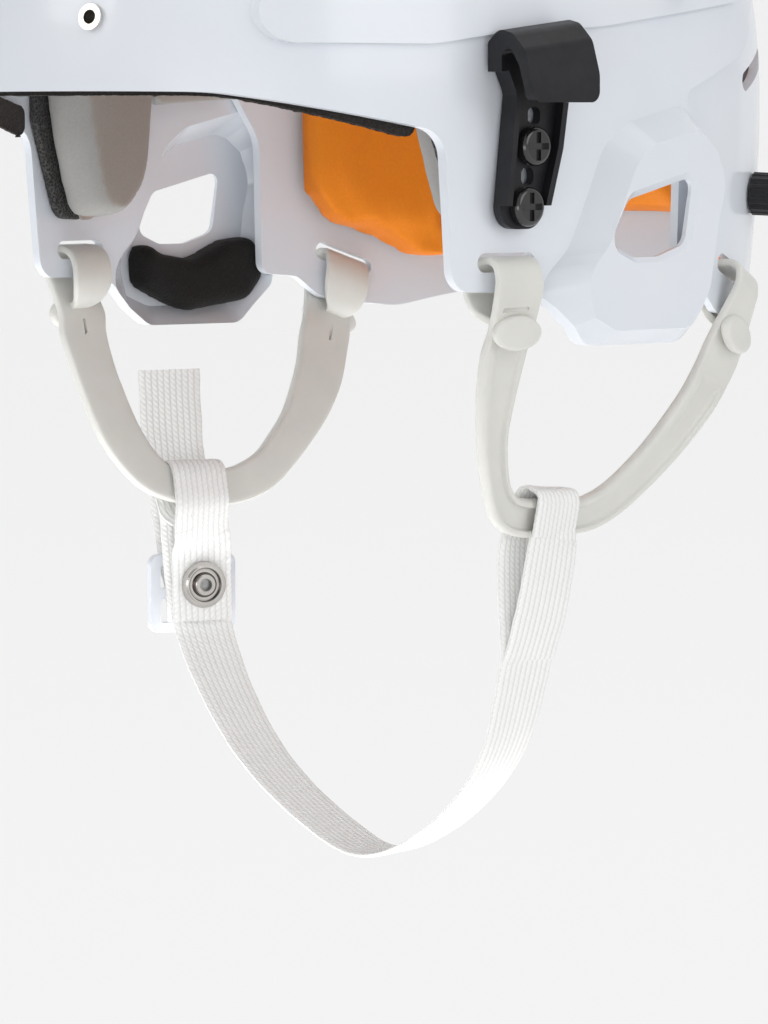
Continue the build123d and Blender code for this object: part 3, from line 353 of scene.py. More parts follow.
# %% Give the hard parts their finishes
hard_finishes = {
    shell_white: ("front_shell", "rear_shell"),
    clip_black: ("cage_clip_left", "cage_clip_right"),
    knob_black: ("lock_knob_left", "lock_knob_right"),
    screw_black: ("clip_screws", "size_screws"),
    nut_steel: ("clip_nuts", "size_nuts", "knob_studs"),
    nickel: ("visor_inserts", "visor_screw"),
    snap_nickel_painted_shade: ("snap_cap", "snap_socket"),
}
for finish, names in hard_finishes.items():
    for name in names:
        slots = nodes[name].material_slots
        if len(slots) == 0:
            nodes[name].data.materials.append(finish)
        for place in slots:
            place.material = finish
print("finished nodes", sum(len(names) for names in hard_finishes.values()))

# %% [markdown]
# The linings are brushed cloth over foam: taupe or orange where the pad meets the
# head, pale grey round its sides. One material paints both, and a value stored on
# each pad's corners says where the face ends and the side begins.

# %% Lining finish
def lining_finish(name, face, side):
    """Brushed lining: one colour on the face, another on the sides."""
    finish, tree, shader = start_finish(name, face, 0.82)
    shader.inputs["Sheen Weight"].default_value = 0.12
    shader.inputs["Sheen Roughness"].default_value = 0.4
    share = tree.nodes.new("ShaderNodeAttribute")
    share.attribute_name = "face_share"
    mix = tree.nodes.new("ShaderNodeMix")
    mix.data_type = "RGBA"
    mix.inputs["A"].default_value = (*side, 1)
    mix.inputs["B"].default_value = (*face, 1)
    tree.links.new(share.outputs["Fac"], mix.inputs["Factor"])
    nap = object_noise(tree, 1300, 3.0, 0.7)
    shade = tree.nodes.new("ShaderNodeMapRange")
    shade.inputs["To Min"].default_value = 0.86
    shade.inputs["To Max"].default_value = 1.1
    tree.links.new(nap, shade.inputs["Value"])
    dye = tree.nodes.new("ShaderNodeMix")
    dye.data_type = "RGBA"
    dye.blend_type = "MULTIPLY"
    dye.inputs["Factor"].default_value = 1.0
    tree.links.new(mix.outputs["Result"], dye.inputs["A"])
    tree.links.new(shade.outputs[0], dye.inputs["B"])
    tree.links.new(dye.outputs["Result"], shader.inputs["Base Color"])
    vary_rough(tree, shader, object_noise(tree, 90), 0.74, 0.9)
    add_bump(tree, shader, nap, 0.35, 0.0003)
    return finish


taupe = (0.30, 0.262, 0.235)
pale_grey = (0.33, 0.324, 0.312)
orange = (0.82, 0.232, 0.003)
lining_taupe = lining_finish("lining_taupe", taupe, pale_grey)
lining_orange = lining_finish("lining_orange", orange, (0.70, 0.185, 0.003))
lining_grey = lining_finish("lining_grey", pale_grey, pale_grey)
print("linings", lining_taupe.name, lining_orange.name, lining_grey.name)

# %% [markdown]
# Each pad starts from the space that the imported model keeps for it. Its copy is
# remeshed in even cubes, drawn in a little, and swelled by a short cloth simulation
# with air pressure, as stuffing would. Only the side towards the head swells: the
# back lies on the shell. The temple pads are fuller and hang a little lower than their
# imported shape, so they get a longer drop and a bulge towards the head of their own.

# %% Helpers for soft copies
head_centre = Vector((0, 0.017, 0.005))
temple_stretch = 1.035
temple_bulge = 0.0055
swell_frames = 20
face_start, face_span = 0.45, 0.10


def soft_copy(node_name, piece_name, voxel, shrink):
    """Remeshed copy of a node, drawn in a little; temple pieces are also made longer downwards."""
    piece = bpy.data.objects.new(piece_name, nodes[node_name].data.copy())
    scene.collection.objects.link(piece)
    piece.data.materials.clear()
    select_only(piece)
    bpy.ops.mesh.customdata_custom_splitnormals_clear()
    bpy.ops.object.mode_set(mode="EDIT")
    bpy.ops.mesh.select_all(action="SELECT")
    bpy.ops.mesh.remove_doubles(threshold=0.00002)
    bpy.ops.object.mode_set(mode="OBJECT")
    piece.data.remesh_voxel_size = voxel
    bpy.ops.object.voxel_remesh()
    if shrink:
        bpy.ops.object.mode_set(mode="EDIT")
        bpy.ops.mesh.select_all(action="SELECT")
        bpy.ops.transform.shrink_fatten(value=-shrink)
        bpy.ops.object.mode_set(mode="OBJECT")
    smooth = piece.modifiers.new("even", "SMOOTH")
    smooth.factor = 0.5
    smooth.iterations = 2
    bpy.ops.object.modifier_apply(modifier=smooth.name)
    if node_name.startswith("temple"):
        top = max(corner.co.z for corner in piece.data.vertices)
        piece.data.transform(Matrix.Translation((0, 0, top)) @ Matrix.Diagonal((1, 1, temple_stretch, 1))
                             @ Matrix.Translation((0, 0, -top)))
    return piece


def outward_share(corner, normal):
    """How far a corner faces away from the head, from 0 to 1."""
    away = (corner - head_centre).normalized()
    return max(0.0, min(1.0, 1.5 * away.dot(normal)))


def swell(pieces, pressure, most):
    """Cloth simulation of all these pieces at once, with each corner's move capped."""
    starts = {}
    for piece in pieces:
        cloth = piece.modifiers.new("swell", "CLOTH")
        cloth.settings.use_pressure = True
        cloth.settings.uniform_pressure_force = pressure
        cloth.settings.effector_weights.gravity = 0
        cloth.point_cache.frame_start = 1
        cloth.point_cache.frame_end = swell_frames
        starts[piece.name] = [(corner.co.copy(), corner.normal.copy()) for corner in piece.data.vertices]
    for step in range(1, swell_frames + 1):
        scene.frame_set(step)
    for piece in pieces:
        select_only(piece)
        bpy.ops.object.modifier_apply(modifier="swell")
        for corner, (place, normal) in zip(piece.data.vertices, starts[piece.name]):
            move = corner.co - place
            if move.length > most:
                move = move.normalized() * most
            corner.co = place + move * (1 - outward_share(place, normal))
    scene.frame_set(1)


def facing_head(piece, rounds):
    """How far each corner faces the head, evened out between neighbours."""
    facing = [(head_centre - corner.co).normalized().dot(corner.normal) for corner in piece.data.vertices]
    for turn in range(rounds):
        total = list(facing)
        count = [1] * len(facing)
        for edge in piece.data.edges:
            first, second = edge.vertices
            total[first] += facing[second]
            total[second] += facing[first]
            count[first] += 1
            count[second] += 1
        facing = [value / number for value, number in zip(total, count)]
    return facing


def finish_pad(piece, finish, body, slot_name, fill, *replaced):
    """Subdivide and even out a pad, mark its face, and give it its finish and its body."""
    select_only(piece)
    piece.modifiers.new("fine", "SUBSURF").levels = 1
    bpy.ops.object.modifier_apply(modifier="fine")
    even = piece.modifiers.new("even", "SMOOTH")
    even.factor = 0.5
    even.iterations = 5
    bpy.ops.object.modifier_apply(modifier="even")
    if piece.name.startswith("temple"):
        for corner, facing in zip(piece.data.vertices, facing_head(piece, 8)):
            away = (corner.co - head_centre).normalized()
            full = max(0.0, min(1.0, 1.4 * facing))
            corner.co -= Vector((away.x, 0.2 * away.y, 0)) * (temple_bulge * full)
        piece.data.update()
    share = piece.data.attributes.new("face_share", "FLOAT", "POINT")
    for index, facing in enumerate(facing_head(piece, 2)):
        edge = max(0.0, min(1.0, (facing - face_start) / face_span))
        share.data[index].value = edge * edge * (3 - 2 * edge)
    bpy.ops.object.shade_smooth()
    piece.data.materials.append(finish)
    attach(piece, body)
    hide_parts(*replaced)


# %% [markdown]
# The table names each lining pad, its finish, the body that it rides on and its slot.

# %% Swell the lining pads
pad_voxel = 0.0034
pad_draw_in = 0.0008
pad_pressure = 4.0
swell_limit = 0.0022
pad_fill = 0.7
pad_plans = (
    ("brow_pad", lining_taupe, "helmet", "pad_taupe"),
    ("temple_pad_left", lining_taupe, "helmet", "pad_taupe"),
    ("temple_pad_right", lining_taupe, "helmet", "pad_taupe"),
    ("side_pad_left", lining_taupe, "helmet", "pad_taupe"),
    ("side_pad_right", lining_taupe, "helmet", "pad_taupe"),
    ("crown_pad_left", lining_taupe, "helmet", "pad_taupe"),
    ("crown_pad_right", lining_taupe, "helmet", "pad_taupe"),
    ("crown_side_pad_left", lining_taupe, "helmet", "pad_taupe"),
    ("crown_side_pad_right", lining_taupe, "helmet", "pad_taupe"),
    ("crown_rear_pad_left", lining_orange, "rear", "pad_orange"),
    ("crown_rear_pad_right", lining_orange, "rear", "pad_orange"),
    ("rear_pad_left", lining_orange, "rear", "pad_orange"),
    ("rear_pad_right", lining_orange, "rear", "pad_orange"),
    ("rear_centre_pad", lining_orange, "rear", "pad_orange"),
    ("rear_strip_pads", lining_grey, "rear", "pad_grey"),
)
pads = [soft_copy(plan[0], f"{plan[0]}_soft", pad_voxel, pad_draw_in) for plan in pad_plans]
swell(pads, pad_pressure, swell_limit)
for pad, (name, finish, body, slot_name) in zip(pads, pad_plans):
    finish_pad(pad, finish, body, slot_name, pad_fill, name)
print("pads", len(pads), "corners", sum(len(pad.data.vertices) for pad in pads))

# %% [markdown]
# The ear pads, the backing behind the temple pads and the edge strip under the brow
# are cut foam, so they keep crisp outlines. A finer remesh rounds their edges by a
# millimetre and no more. The edge strip is drawn in and raised by a millimetre, so
# that only a thin dark line of it shows under the brow.

# %% Cut foam pieces
trim_shift = 0.0010
foam_plans = (
    ("ear_pad_left", foam_black, "foam_black", 0.0016),
    ("ear_pad_right", foam_black, "foam_black", 0.0016),
    ("temple_backing_left", foam_backing, "foam_black", 0.0010),
    ("temple_backing_right", foam_backing, "foam_black", 0.0010),
    ("brow_trim", foam_edge, "foam_edge", 0.0009),
)
for name, finish, slot_name, voxel in foam_plans:
    foam = soft_copy(name, f"{name}_foam", voxel, trim_shift if name == "brow_trim" else 0.0)
    if name == "brow_trim":
        foam.data.transform(Matrix.Translation((0, 0, trim_shift)))
    select_only(foam)
    bpy.ops.object.shade_smooth()
    foam.data.materials.append(finish)
    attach(foam, "helmet")
    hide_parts(name)
    print(foam.name, len(foam.data.vertices), "corners")

# %% [markdown]
# The ear loops are moulded in soft cream plastic, milky where it is thin. The webbing
# is knitted in lengthwise ribs, so its finish is drawn on the band's own coordinates:
# across it in ribs, and along it in small slanted stitches, with painted shade in the dips.

# %% Loop and webbing finishes
def loop_finish():
    """Soft cream moulding with a satin skin."""
    finish, tree, shader = start_finish("loop_cream", (0.78, 0.765, 0.715), 0.42)
    shader.inputs["Subsurface Weight"].default_value = 0.08
    shader.inputs["Subsurface Radius"].default_value = (0.004, 0.0034, 0.0025)
    shader.inputs["Coat Weight"].default_value = 0.08
    shader.inputs["Coat Roughness"].default_value = 0.3
    cloud = object_noise(tree, 55, 3.0)
    vary_color(tree, shader, cloud, (0.685, 0.68, 0.645), (0.735, 0.73, 0.69))
    vary_rough(tree, shader, object_noise(tree, 420, 3.0), 0.36, 0.5)
    first = add_bump(tree, shader, cloud, 0.08, 0.001)
    add_bump(tree, shader, object_noise(tree, 1900, 2.0), 0.10, 0.0001, first)
    return finish


def math_step(tree, kind, *values):
    """Math node on up to three values or sockets."""
    step = tree.nodes.new("ShaderNodeMath")
    step.operation = kind
    for place, value in zip(step.inputs, values):
        if isinstance(value, (int, float)):
            place.default_value = value
        else:
            tree.links.new(value, place)
    return step.outputs[0]


def webbing_finish(rib_count, stitch):
    """White knitted band: ribs along it, with slanted stitches in each rib, and painted shade in the dips
    between them.
    """
    finish, tree, shader = start_finish("webbing_white", (0.80, 0.80, 0.79), 0.78)
    shader.inputs["Sheen Weight"].default_value = 0.15
    shader.inputs["Sheen Roughness"].default_value = 0.4
    place = tree.nodes.new("ShaderNodeUVMap")
    apart = tree.nodes.new("ShaderNodeSeparateXYZ")
    tree.links.new(place.outputs["UV"], apart.inputs["Vector"])
    across = math_step(tree, "MULTIPLY", apart.outputs["X"], rib_count)
    middle = math_step(tree, "SUBTRACT", math_step(tree, "FRACT", across), 0.5)
    side = math_step(tree, "ABSOLUTE", middle)
    slope = math_step(tree, "POWER", math_step(tree, "MULTIPLY", side, 2.0), 2.2)
    rib = math_step(tree, "SUBTRACT", 1.0, slope)
    shift = math_step(tree, "MULTIPLY", math_step(tree, "FLOOR", across), 0.31)
    along = math_step(tree, "MULTIPLY_ADD", apart.outputs["Y"], 1 / stitch, shift)
    turns = math_step(tree, "MULTIPLY_ADD", middle, 0.9, along)
    wave = math_step(tree, "SINE", math_step(tree, "MULTIPLY", turns, 2 * math.pi))
    knot = math_step(tree, "MULTIPLY_ADD", wave, 0.3, 0.7)
    height = math_step(tree, "MULTIPLY", rib, knot)
    # The colour follows the height: darker in the dips between ribs and stitches, as painted shade.
    vary_color(tree, shader, height, (0.74, 0.74, 0.73), (0.94, 0.94, 0.93), 0.0, 0.45)
    first = add_bump(tree, shader, height, 0.45, 0.0005)
    add_bump(tree, shader, object_noise(tree, 2500, 3.0), 0.25, 0.0002, first)
    return finish


def slider_finish():
    """Cool white moulding with a satin skin."""
    finish, tree, shader = start_finish("slider_white", (0.74, 0.77, 0.82), 0.35)
    vary_rough(tree, shader, object_noise(tree, 300), 0.28, 0.42)
    vary_color(tree, shader, object_noise(tree, 60), (0.71, 0.74, 0.79), (0.76, 0.79, 0.84))
    add_bump(tree, shader, object_noise(tree, 1800, 2.0), 0.12, 0.0001)
    return finish


rib_count = 10
stitch_length = 0.0017
loop_cream = loop_finish()
webbing_white = webbing_finish(rib_count, stitch_length)
slider_white = slider_finish()
nodes["strap_slider"].material_slots[0].material = slider_white
print("finishes", loop_cream.name, webbing_white.name, slider_white.name)

# %% [markdown]
# Each ear loop is one strap of soft plastic. It starts at a button, goes up behind the
# ear guard and out through a slot, folds over, runs down and round the bottom, and
# ends the same way at the rear. A list of cross lines gives it shape: where the
# outer and the inner edge lie on the loop's plane, in millimetres.

# %% Helpers for the ear loops
loop_origin = Vector((81.986, 9, -78))
loop_axes = (Vector((-0.042, 0.999, 0)), Vector((0.232, 0.010, 0.973)), Vector((0.972, 0.041, -0.232)))
front_slot = Vector((89.099, -29.5, -39.8))
front_slot_axes = (Vector((0.116, 0.993, 0)), Vector((0.035, -0.004, 0.999)), Vector((0.993, -0.116, -0.035)))
rear_slot = Vector((81.479, 84.5, -45.5))
rear_slot_axes = (
    Vector((-0.291, 0.894, -0.341)), Vector((-0.044, 0.344, 0.938)), Vector((0.956, 0.288, -0.061)),
)

# along the slot, up from it, out from the wall, half the strap's width
front_fold = (
    (0.6, -17.4, 0.6, 3.4), (0.4, -16.8, -2.6, 4.5), (0.0, -14.4, -5.8, 7.0), (-0.2, -10.0, -7.6, 8.6),
    (-0.3, -5.4, -7.6, 8.6), (-0.3, -1.8, -6.2, 8.6), (-0.3, 0.1, -3.4, 8.6), (-0.3, 0.5, -0.6, 8.6),
    (-0.2, 0.6, 1.8, 8.6), (0.0, -0.8, 3.9, 8.6), (0.4, -4.0, 4.7, 8.6), (0.8, -8.0, 4.4, 8.8),
)
rear_fold = (
    (0.4, -8.0, 4.9, 8.6), (0.0, -4.0, 5.4, 8.4), (0.0, -0.8, 4.4, 8.2), (0.0, 0.5, 2.0, 8.2),
    (0.0, 0.4, -0.6, 8.2), (0.0, 0.0, -3.4, 8.2), (0.0, -2.0, -5.4, 8.2), (0.6, -5.4, -6.4, 8.2),
    (1.4, -10.0, -6.0, 8.0), (2.4, -14.4, -4.4, 6.6), (3.0, -16.6, -2.0, 4.4), (3.0, -16.8, 1.0, 3.4),
)
# outer edge across and up, inner edge across and up
near_lines = (
    (-45.2, 20, -26.2, 20), (-46.4, 12, -27.8, 12), (-45.1, 1.7, -28.9, 2.0), (-43.1, -5.8, -29.3, -5.5),
    (-40.7, -13.3, -29.1, -12.5), (-35.6, -25.0, -26.4, -21.5), (-29.5, -35.4, -23.0, -27.6),
    (-23.0, -41.0, -18.0, -31.2), (-14.0, -43.8, -11.0, -32.5), (0.0, -45.2, -0.5, -33.0),
    (12.0, -45.0, 10.0, -33.8), (22.5, -43.9, 17.5, -33.0), (33.0, -40.2, 26.0, -29.6),
    (43.6, -33.8, 35.0, -23.5), (54.0, -26.5, 42.5, -17.0), (64.0, -17.8, 50.0, -9.0),
    (71.5, -9.6, 55.3, -2.2), (76.6, -1.5, 59.5, 5.4), (80.0, 7.0, 63.0, 14.0),
)
far_lines = (
    (-45.6, 20, -27.6, 20), (-46.0, 12, -28.2, 12), (-44.4, 4.0, -27.0, 2.0), (-41.6, -7.0, -24.4, -8.0),
    (-37.0, -21.0, -20.6, -18.5), (-29.5, -32.0, -15.4, -27.0), (-20.8, -39.0, -10.0, -31.5),
    (-8.0, -43.4, -5.0, -33.0), (3.0, -45.0, 2.0, -33.4), (12.0, -45.0, 9.5, -33.4),
    (21.0, -44.2, 18.0, -32.4), (32.0, -41.0, 28.0, -28.8), (42.0, -34.8, 35.5, -23.0),
    (52.0, -27.4, 42.5, -16.5), (62.0, -18.8, 48.5, -8.0), (70.4, -8.6, 53.0, 0.0),
    (75.6, 2.0, 56.2, 8.5), (78.8, 9.5, 59.5, 15.5),
)
# across as a share of the half width, deep as a share of the thickness, moulded relief
strap_profile = (
    (-1.0, 0.18, 0), (-0.97, 0.42, 0), (-0.92, 0.5, 0.1), (-0.86, 0.5, 0.65), (-0.66, 0.5, 0.75),
    (-0.60, 0.5, 0.6), (-0.57, 0.5, -0.7), (-0.50, 0.5, -0.95), (0.0, 0.5, -1.0), (0.50, 0.5, -0.95),
    (0.57, 0.5, -0.7), (0.60, 0.5, 0.6), (0.66, 0.5, 0.75), (0.86, 0.5, 0.65), (0.92, 0.5, 0.1),
    (0.97, 0.42, 0), (1.0, 0.18, 0), (1.0, -0.18, 0), (0.96, -0.42, 0), (0.86, -0.5, 0),
    (0.0, -0.5, 0), (-0.86, -0.5, 0), (-0.96, -0.42, 0), (-1.0, -0.18, 0),
)


def slot_cross(origin, axes, line, turn):
    """Middle and half width of the strap at a line given from a slot."""
    along, up, out, half = line
    return origin + axes[0] * along + axes[1] * up + axes[2] * out, axes[0] * (half * turn)


def plane_cross(line, lean):
    """Middle and half width of the strap at a line on the loop's plane."""
    ends = [loop_origin + loop_axes[0] * across + loop_axes[1] * up + loop_axes[2] * lean
            for across, up in (line[:2], line[2:])]
    return (ends[0] + ends[1]) / 2, (ends[1] - ends[0]) / 2


def between(values, turn):
    """Smooth value through a list at a whole or broken index."""
    low = min(int(turn), len(values) - 2)
    share = turn - low
    last = len(values) - 1
    before, first, second, after = (values[max(0, min(last, low + step))] for step in (-1, 0, 1, 2))
    return 0.5 * (2 * first + (second - before) * share
                  + (2 * before - 5 * first + 4 * second - after) * share ** 2
                  + (3 * first - before - 3 * second + after) * share ** 3)


def ramp(value, low, high):
    """Smooth step from 0 to 1."""
    share = max(0.0, min(1.0, (value - low) / (high - low)))
    return share * share * (3 - 2 * share)


def skin(name, rings):
    """Closed tube through rings of points, in millimetres."""
    body = bmesh.new()
    loops = [[body.verts.new(point / 1000) for point in ring] for ring in rings]
    for one, two in zip(loops, loops[1:]):
        for index in range(len(one)):
            body.faces.new((one[index - 1], one[index], two[index], two[index - 1]))
    body.faces.new(loops[0])
    body.faces.new(list(reversed(loops[-1])))
    bmesh.ops.recalc_face_normals(body, faces=body.faces)
    mesh = bpy.data.meshes.new(name)
    body.to_mesh(mesh)
    body.free()
    piece = bpy.data.objects.new(name, mesh)
    scene.collection.objects.link(piece)
    return piece


def loop_strap(name, lines):
    """Whole strap of one ear loop, on the left side."""
    crosses = [slot_cross(front_slot, front_slot_axes, line, 1) for line in front_fold]
    crosses += [plane_cross(line, 0) for line in lines]
    crosses += [slot_cross(rear_slot, rear_slot_axes, line, -1) for line in rear_fold]
    middles = [middle for middle, half in crosses]
    halves = [half for middle, half in crosses]
    groove_start = len(front_fold) + 0.75
    groove_end = len(front_fold) + len(lines) - 2.3
    leg_end = len(crosses) - len(rear_fold)
    fold_thick, leg_extra = 2.3, 0.9
    rings = []
    fine = 7
    for count in range((len(crosses) - 1) * fine + 1):
        turn = count / fine
        middle = between(middles, turn)
        half = between(halves, turn)
        ahead = between(middles, min(turn + 0.1, len(crosses) - 1)) - between(middles, max(turn - 0.1, 0))
        out = ahead.cross(half).normalized()
        leg = ramp(turn, len(front_fold) - 2, len(front_fold) + 1)
        leg *= 1 - ramp(turn, leg_end - 2, leg_end + 1)
        thick = fold_thick + leg_extra * leg
        relief = ramp(turn, groove_start, groove_start + 0.2) * (1 - ramp(turn, groove_end - 0.2, groove_end))
        rings.append([middle + half * across + out * (thick * deep + relief * raised)
                      for across, deep, raised in strap_profile])
    return skin(name, rings)


def place_on(piece, origin, axes, along, up, out):
    """Put a piece, made in millimetres about the centre, on a slot's plane."""
    turn = Matrix((axes[0], axes[1], axes[2])).transposed().to_4x4()
    spot = origin + axes[0] * along + axes[1] * up + axes[2] * out
    piece.data.transform(Matrix.Scale(0.001, 4) @ Matrix.Translation(spot) @ turn)


def oval_button(name, length, height, thick):
    """Domed oval button with a rolled edge, about the centre."""
    bpy.ops.object.select_all(action="DESELECT")
    bpy.ops.mesh.primitive_cylinder_add(vertices=56, radius=1, depth=thick)
    button = bpy.context.object
    button.name = name
    bpy.ops.object.mode_set(mode="EDIT")
    bpy.ops.mesh.select_all(action="SELECT")
    bpy.ops.transform.resize(value=(length / 2, height / 2, 1))
    bpy.ops.object.mode_set(mode="OBJECT")
    edge = button.modifiers.new("rolled", "BEVEL")
    edge.width = thick * 0.42
    edge.segments = 5
    edge.limit_method = "ANGLE"
    bpy.ops.object.modifier_apply(modifier="rolled")
    return button


def cut_slit(piece, origin, axes, place, size):
    """Cut a narrow slit into a piece, given from a slot's plane."""
    bpy.ops.object.select_all(action="DESELECT")
    bpy.ops.mesh.primitive_cube_add(size=1)
    cutter = bpy.context.object
    cutter.data.transform(Matrix.Diagonal((*size, 1)))
    place_on(cutter, origin, axes, *place)
    select_only(piece)
    cut = piece.modifiers.new("slit", "BOOLEAN")
    cut.object = cutter
    cut.solver = "EXACT"
    bpy.ops.object.modifier_apply(modifier="slit")
    bpy.data.objects.remove(cutter)


# %% [markdown]
# Both loops are made on the left, and the right one is then mirrored and its faces
# turned back outwards.

# %% Make the two ear loops
def ear_loop(side, lines):
    """Ear loop with its buttons and slits; side is 1 on the left and -1 on the right."""
    word = "left" if side > 0 else "right"
    strap = loop_strap(f"ear_loop_{word}_strap", lines)
    select_only(strap)
    strap.modifiers.new("fine", "SUBSURF").levels = 1
    bpy.ops.object.modifier_apply(modifier="fine")
    cut_slit(strap, front_slot, front_slot_axes, (0.8, -13.2, 4.2), (10.5, 1.2, 3.0))
    cut_slit(strap, front_slot, front_slot_axes, (1.0, -24.5, -2.6), (1.1, 6.0, 1.8))
    cut_slit(strap, rear_slot, rear_slot_axes, (2.6, -24.0, -2.4), (1.1, 6.0, 1.8))
    front_button = oval_button("front_button", 17.6, 10.2, 3.4)
    place_on(front_button, front_slot, front_slot_axes, 1.4, -19.8, 3.4)
    rear_button = oval_button("rear_button", 20.5, 10.8, 3.4)
    place_on(rear_button, rear_slot, rear_slot_axes, 3.6, -18.6, 3.6)
    select_only(strap, front_button, rear_button)
    bpy.ops.object.join()
    if side < 0:
        strap.data.transform(Matrix.Diagonal((-1, 1, 1, 1)))
        strap.data.flip_normals()
    strap.data.materials.clear()
    strap.data.materials.append(loop_cream)
    select_only(strap)
    bpy.ops.object.shade_smooth_by_angle(angle=math.radians(38))
    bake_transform(strap)
    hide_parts(f"ear_loop_{word}", f"ear_loop_rear_{word}")
    return strap


for side, lines in ((1, near_lines), (-1, far_lines)):
    loop = ear_loop(side, lines)
    print(loop.name, len(loop.data.vertices), "corners")

# %% [markdown]
# The webbing is a flat knitted band. Each length follows a smooth spline through a few
# points, and every point also says which way the band's width lies there. The same
# helper makes the strap under the chin, both folds over the loops, the flap and the tail.

# %% Helpers for the webbing
def smooth_route(places, steps):
    """Points read along a smooth spline through control places, in metres."""
    data = bpy.data.curves.new("route", "CURVE")
    data.dimensions = "3D"
    data.resolution_u = steps
    spline = data.splines.new("NURBS")
    spline.points.add(len(places) - 1)
    for point, place in zip(spline.points, places):
        point.co = (*place, 1)
    spline.order_u = 3
    spline.use_endpoint_u = True
    holder = bpy.data.objects.new("route", data)
    scene.collection.objects.link(holder)
    bpy.context.view_layer.update()
    seen = holder.evaluated_get(bpy.context.evaluated_depsgraph_get())
    mesh = bpy.data.meshes.new_from_object(seen)
    points = [corner.co.copy() for corner in mesh.vertices]
    bpy.data.objects.remove(holder)
    return points


def band(name, places, acrosses, steps=8, travelled=0.0):
    """Flat band along a route; acrosses gives the direction of its width at each place."""
    width, thick = 0.020, 0.0015
    points = smooth_route(places, steps)
    columns = 14
    shares = [2 * count / columns - 1 for count in range(columns + 1)]
    ring = [(share, 1) for share in shares] + [(share, -1) for share in reversed(shares)]
    body = bmesh.new()
    layer = body.loops.layers.uv.new("band")
    rows = []
    for index, point in enumerate(points):
        ahead = points[min(index + 1, len(points) - 1)] - points[max(index - 1, 0)]
        ahead.normalize()
        if index:
            travelled += (point - points[index - 1]).length
        turn = index / (len(points) - 1) * (len(places) - 1)
        low = min(int(turn), len(places) - 2)
        across = acrosses[low].lerp(acrosses[low + 1], turn - low)
        across = (across - ahead * across.dot(ahead)).normalized()
        out = ahead.cross(across).normalized()
        edge = 1 + 0.008 * math.sin(travelled * 2600) + 0.006 * math.sin(travelled * 410)
        row = []
        for share, face in ring:
            swell = thick / 2 * (1 - 0.55 * abs(share) ** 10)
            row.append((body.verts.new(point + across * (share * edge * width / 2) + out * (face * swell)),
                        (share + 1) / 2, travelled))
        rows.append(row)
    for one, two in zip(rows, rows[1:]):
        for index in range(len(one)):
            corners = (one[index - 1], one[index], two[index], two[index - 1])
            face = body.faces.new([corner[0] for corner in corners])
            for loop, corner in zip(face.loops, corners):
                loop[layer].uv = (corner[1], corner[2])
    for row in (rows[0], list(reversed(rows[-1]))):
        face = body.faces.new([corner[0] for corner in row])
        for loop, corner in zip(face.loops, row):
            loop[layer].uv = (corner[1], corner[2])
    bmesh.ops.recalc_face_normals(body, faces=body.faces)
    mesh = bpy.data.meshes.new(name)
    body.to_mesh(mesh)
    body.free()
    piece = bpy.data.objects.new(name, mesh)
    scene.collection.objects.link(piece)
    piece.data.materials.append(webbing_white)
    select_only(piece)
    bpy.ops.object.shade_smooth_by_angle(angle=math.radians(50))
    return piece, points, travelled


def route_lists(route):
    """Places in metres and width directions of a route given in millimetres and degrees."""
    places = [Vector(stop[:3]) / 1000 for stop in route]
    turns = [math.radians(stop[3]) for stop in route]
    acrosses = [Vector((math.sin(turn), math.cos(turn), 0)) for turn in turns]
    return places, acrosses


# out from the loop's centre and out from its plane, in millimetres
wrap_section = ((44, 3.9), (38, 3.85), (32.8, 3.7), (30.7, 2.2), (30.45, 0),
                (30.7, -2.2), (32.8, -3.7), (38, -3.85), (44, -3.9))


def wrap_lists(side, start_angle, end_angle, way, loose, lean):
    """Band round the bottom of a loop; way 1 starts outside, -1 starts inside."""
    flip = Matrix.Diagonal((side, 1, 1))
    places, acrosses = [], []
    for index, (deep, out) in enumerate(wrap_section):
        angle = math.radians(start_angle + (end_angle - start_angle) * index / (len(wrap_section) - 1))
        radial = loop_axes[0] * math.sin(angle) - loop_axes[1] * math.cos(angle)
        along = loop_axes[0] * math.cos(angle) + loop_axes[1] * math.sin(angle) + loop_axes[2] * lean
        places.append(flip @ ((loop_origin + radial * deep + loop_axes[2] * (out * way * loose)) / 1000))
        acrosses.append(flip @ along)
    return places, acrosses
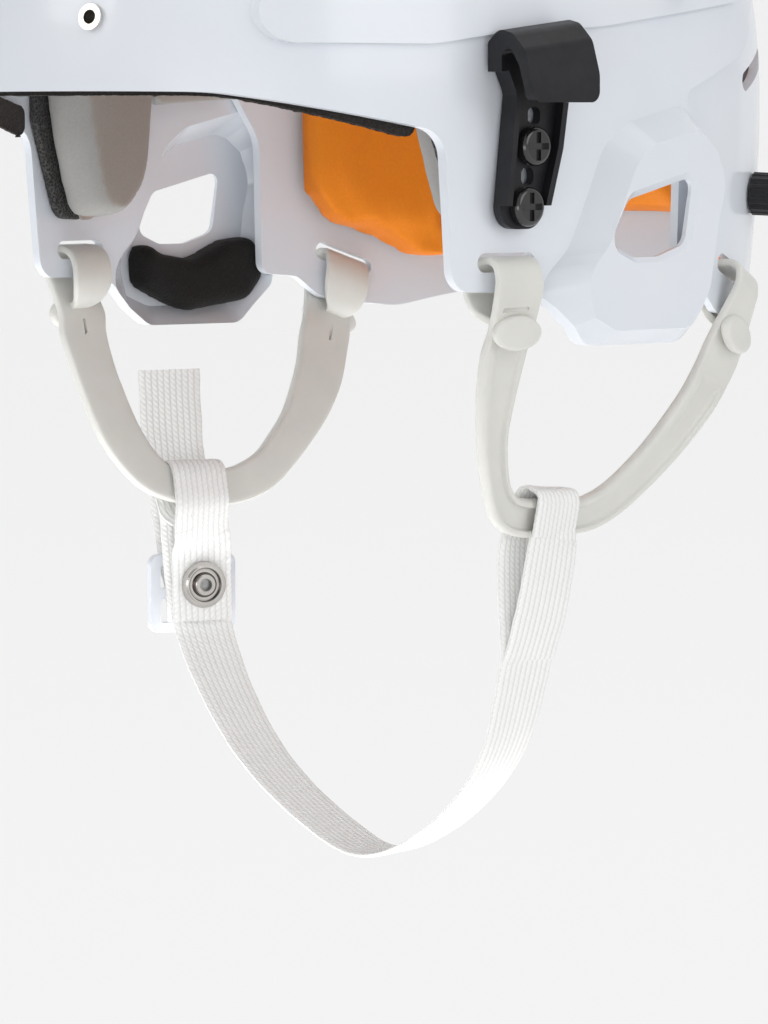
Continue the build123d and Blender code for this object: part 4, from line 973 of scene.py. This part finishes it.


# %% [markdown]
# The strap hangs in one curve from the near fold to the far slider. Its points follow
# the hanging webbing, in millimetres, with the turn of its width in degrees.
# The far fold and the flap share a seam, where the flap swings open.

# %% Make the strap, its folds, the flap and the tail
strap_route = (
    (65.1, 8, -157.5, 8), (60.5, 9, -173, 4), (55, 10, -187, 0), (46.5, 10, -199, -2), (33, 10, -211.5, -4),
    (15.5, 10, -221.5, -4), (1, 10, -224.5, 0), (-13, 10, -219.5, 4), (-33, 10, -209, 4),
    (-49, 10, -196.5, 6), (-62.5, 10.5, -180, 10), (-72.2, 11.3, -164, 17), (-76.6, 12.1, -151, 23),
    (-77.4, 9.5, -136, 20), (-76.2, 6.5, -121.5, 8),
)
fold_back_route = ((65, 8, -158.5, 8), (66, 6.5, -149, 10), (66.9, 4.4, -137, 8), (67.2, 3.4, -126, 4))
fold_front_route = ((76, 6.8, -122.3, 4), (73.6, 6.9, -135, 6), (68.8, 8.1, -150, 8), (65.3, 8.2, -158.5, 8))
flap_route = (
    (-69, 6.5, -127.4, 10), (-71.4, 8.8, -133.5, 20), (-72.6, 10.1, -138.6, 23), (-72.6, 10.1, -149, 23),
    (-71.4, 9.6, -158, 23),
)
tail_route = (
    (-78.1, 13.2, -158.5, 23), (-78.4, 12.85, -148.4, 23), (-83.7, 15, -141.5, 23), (-84.9, 14.5, -130, 25),
    (-87.4, 13.2, -112, 28), (-89.4, 13, -95, 30), (-90.4, 13.4, -79, 31),
)
strap_places, strap_acrosses = route_lists(strap_route)
strap, strap_path, strap_length = band("strap_webbing", strap_places, strap_acrosses, steps=14)
back_places, back_acrosses = route_lists(fold_back_route)
front_places, front_acrosses = route_lists(fold_front_route)
near_places, near_acrosses = wrap_lists(1, -7.5, -2.0, -1, 1.0, 0)
near_fold, _, near_length = band("near_fold", back_places + near_places + front_places,
                                 back_acrosses + near_acrosses + front_acrosses)
far_places, far_acrosses = wrap_lists(-1, -3.75, -3.75, 1, 1.2, -0.14)
flap_places, flap_acrosses = route_lists(flap_route)
seam_step = 0.003
seam = Vector((-0.23, 0.23, -0.945)) * seam_step
seam_acrosses = [flap_acrosses[0]] * 2
seam_middle = flap_places[0]
far_fold, _, far_length = band("far_fold", strap_places[-1:] + far_places + [seam_middle - seam, seam_middle],
                               strap_acrosses[-1:] + far_acrosses + seam_acrosses)
flap, _, flap_end = band("flap_webbing", [seam_middle, seam_middle + seam] + flap_places[1:],
                         seam_acrosses + flap_acrosses[1:], travelled=far_length)
tail_places, tail_acrosses = route_lists(tail_route)
tail, _, tail_length = band("tail_webbing", tail_places, tail_acrosses)
for piece in (strap, near_fold, far_fold, tail):
    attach(piece, "strap")
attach(flap, "flap")
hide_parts("chin_strap")
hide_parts("snap_flap")
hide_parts("strap_tail")
print("strap", strap_length, "near fold", near_length, "far fold", far_length)
print("flap", flap_end - far_length, "tail", tail_length)
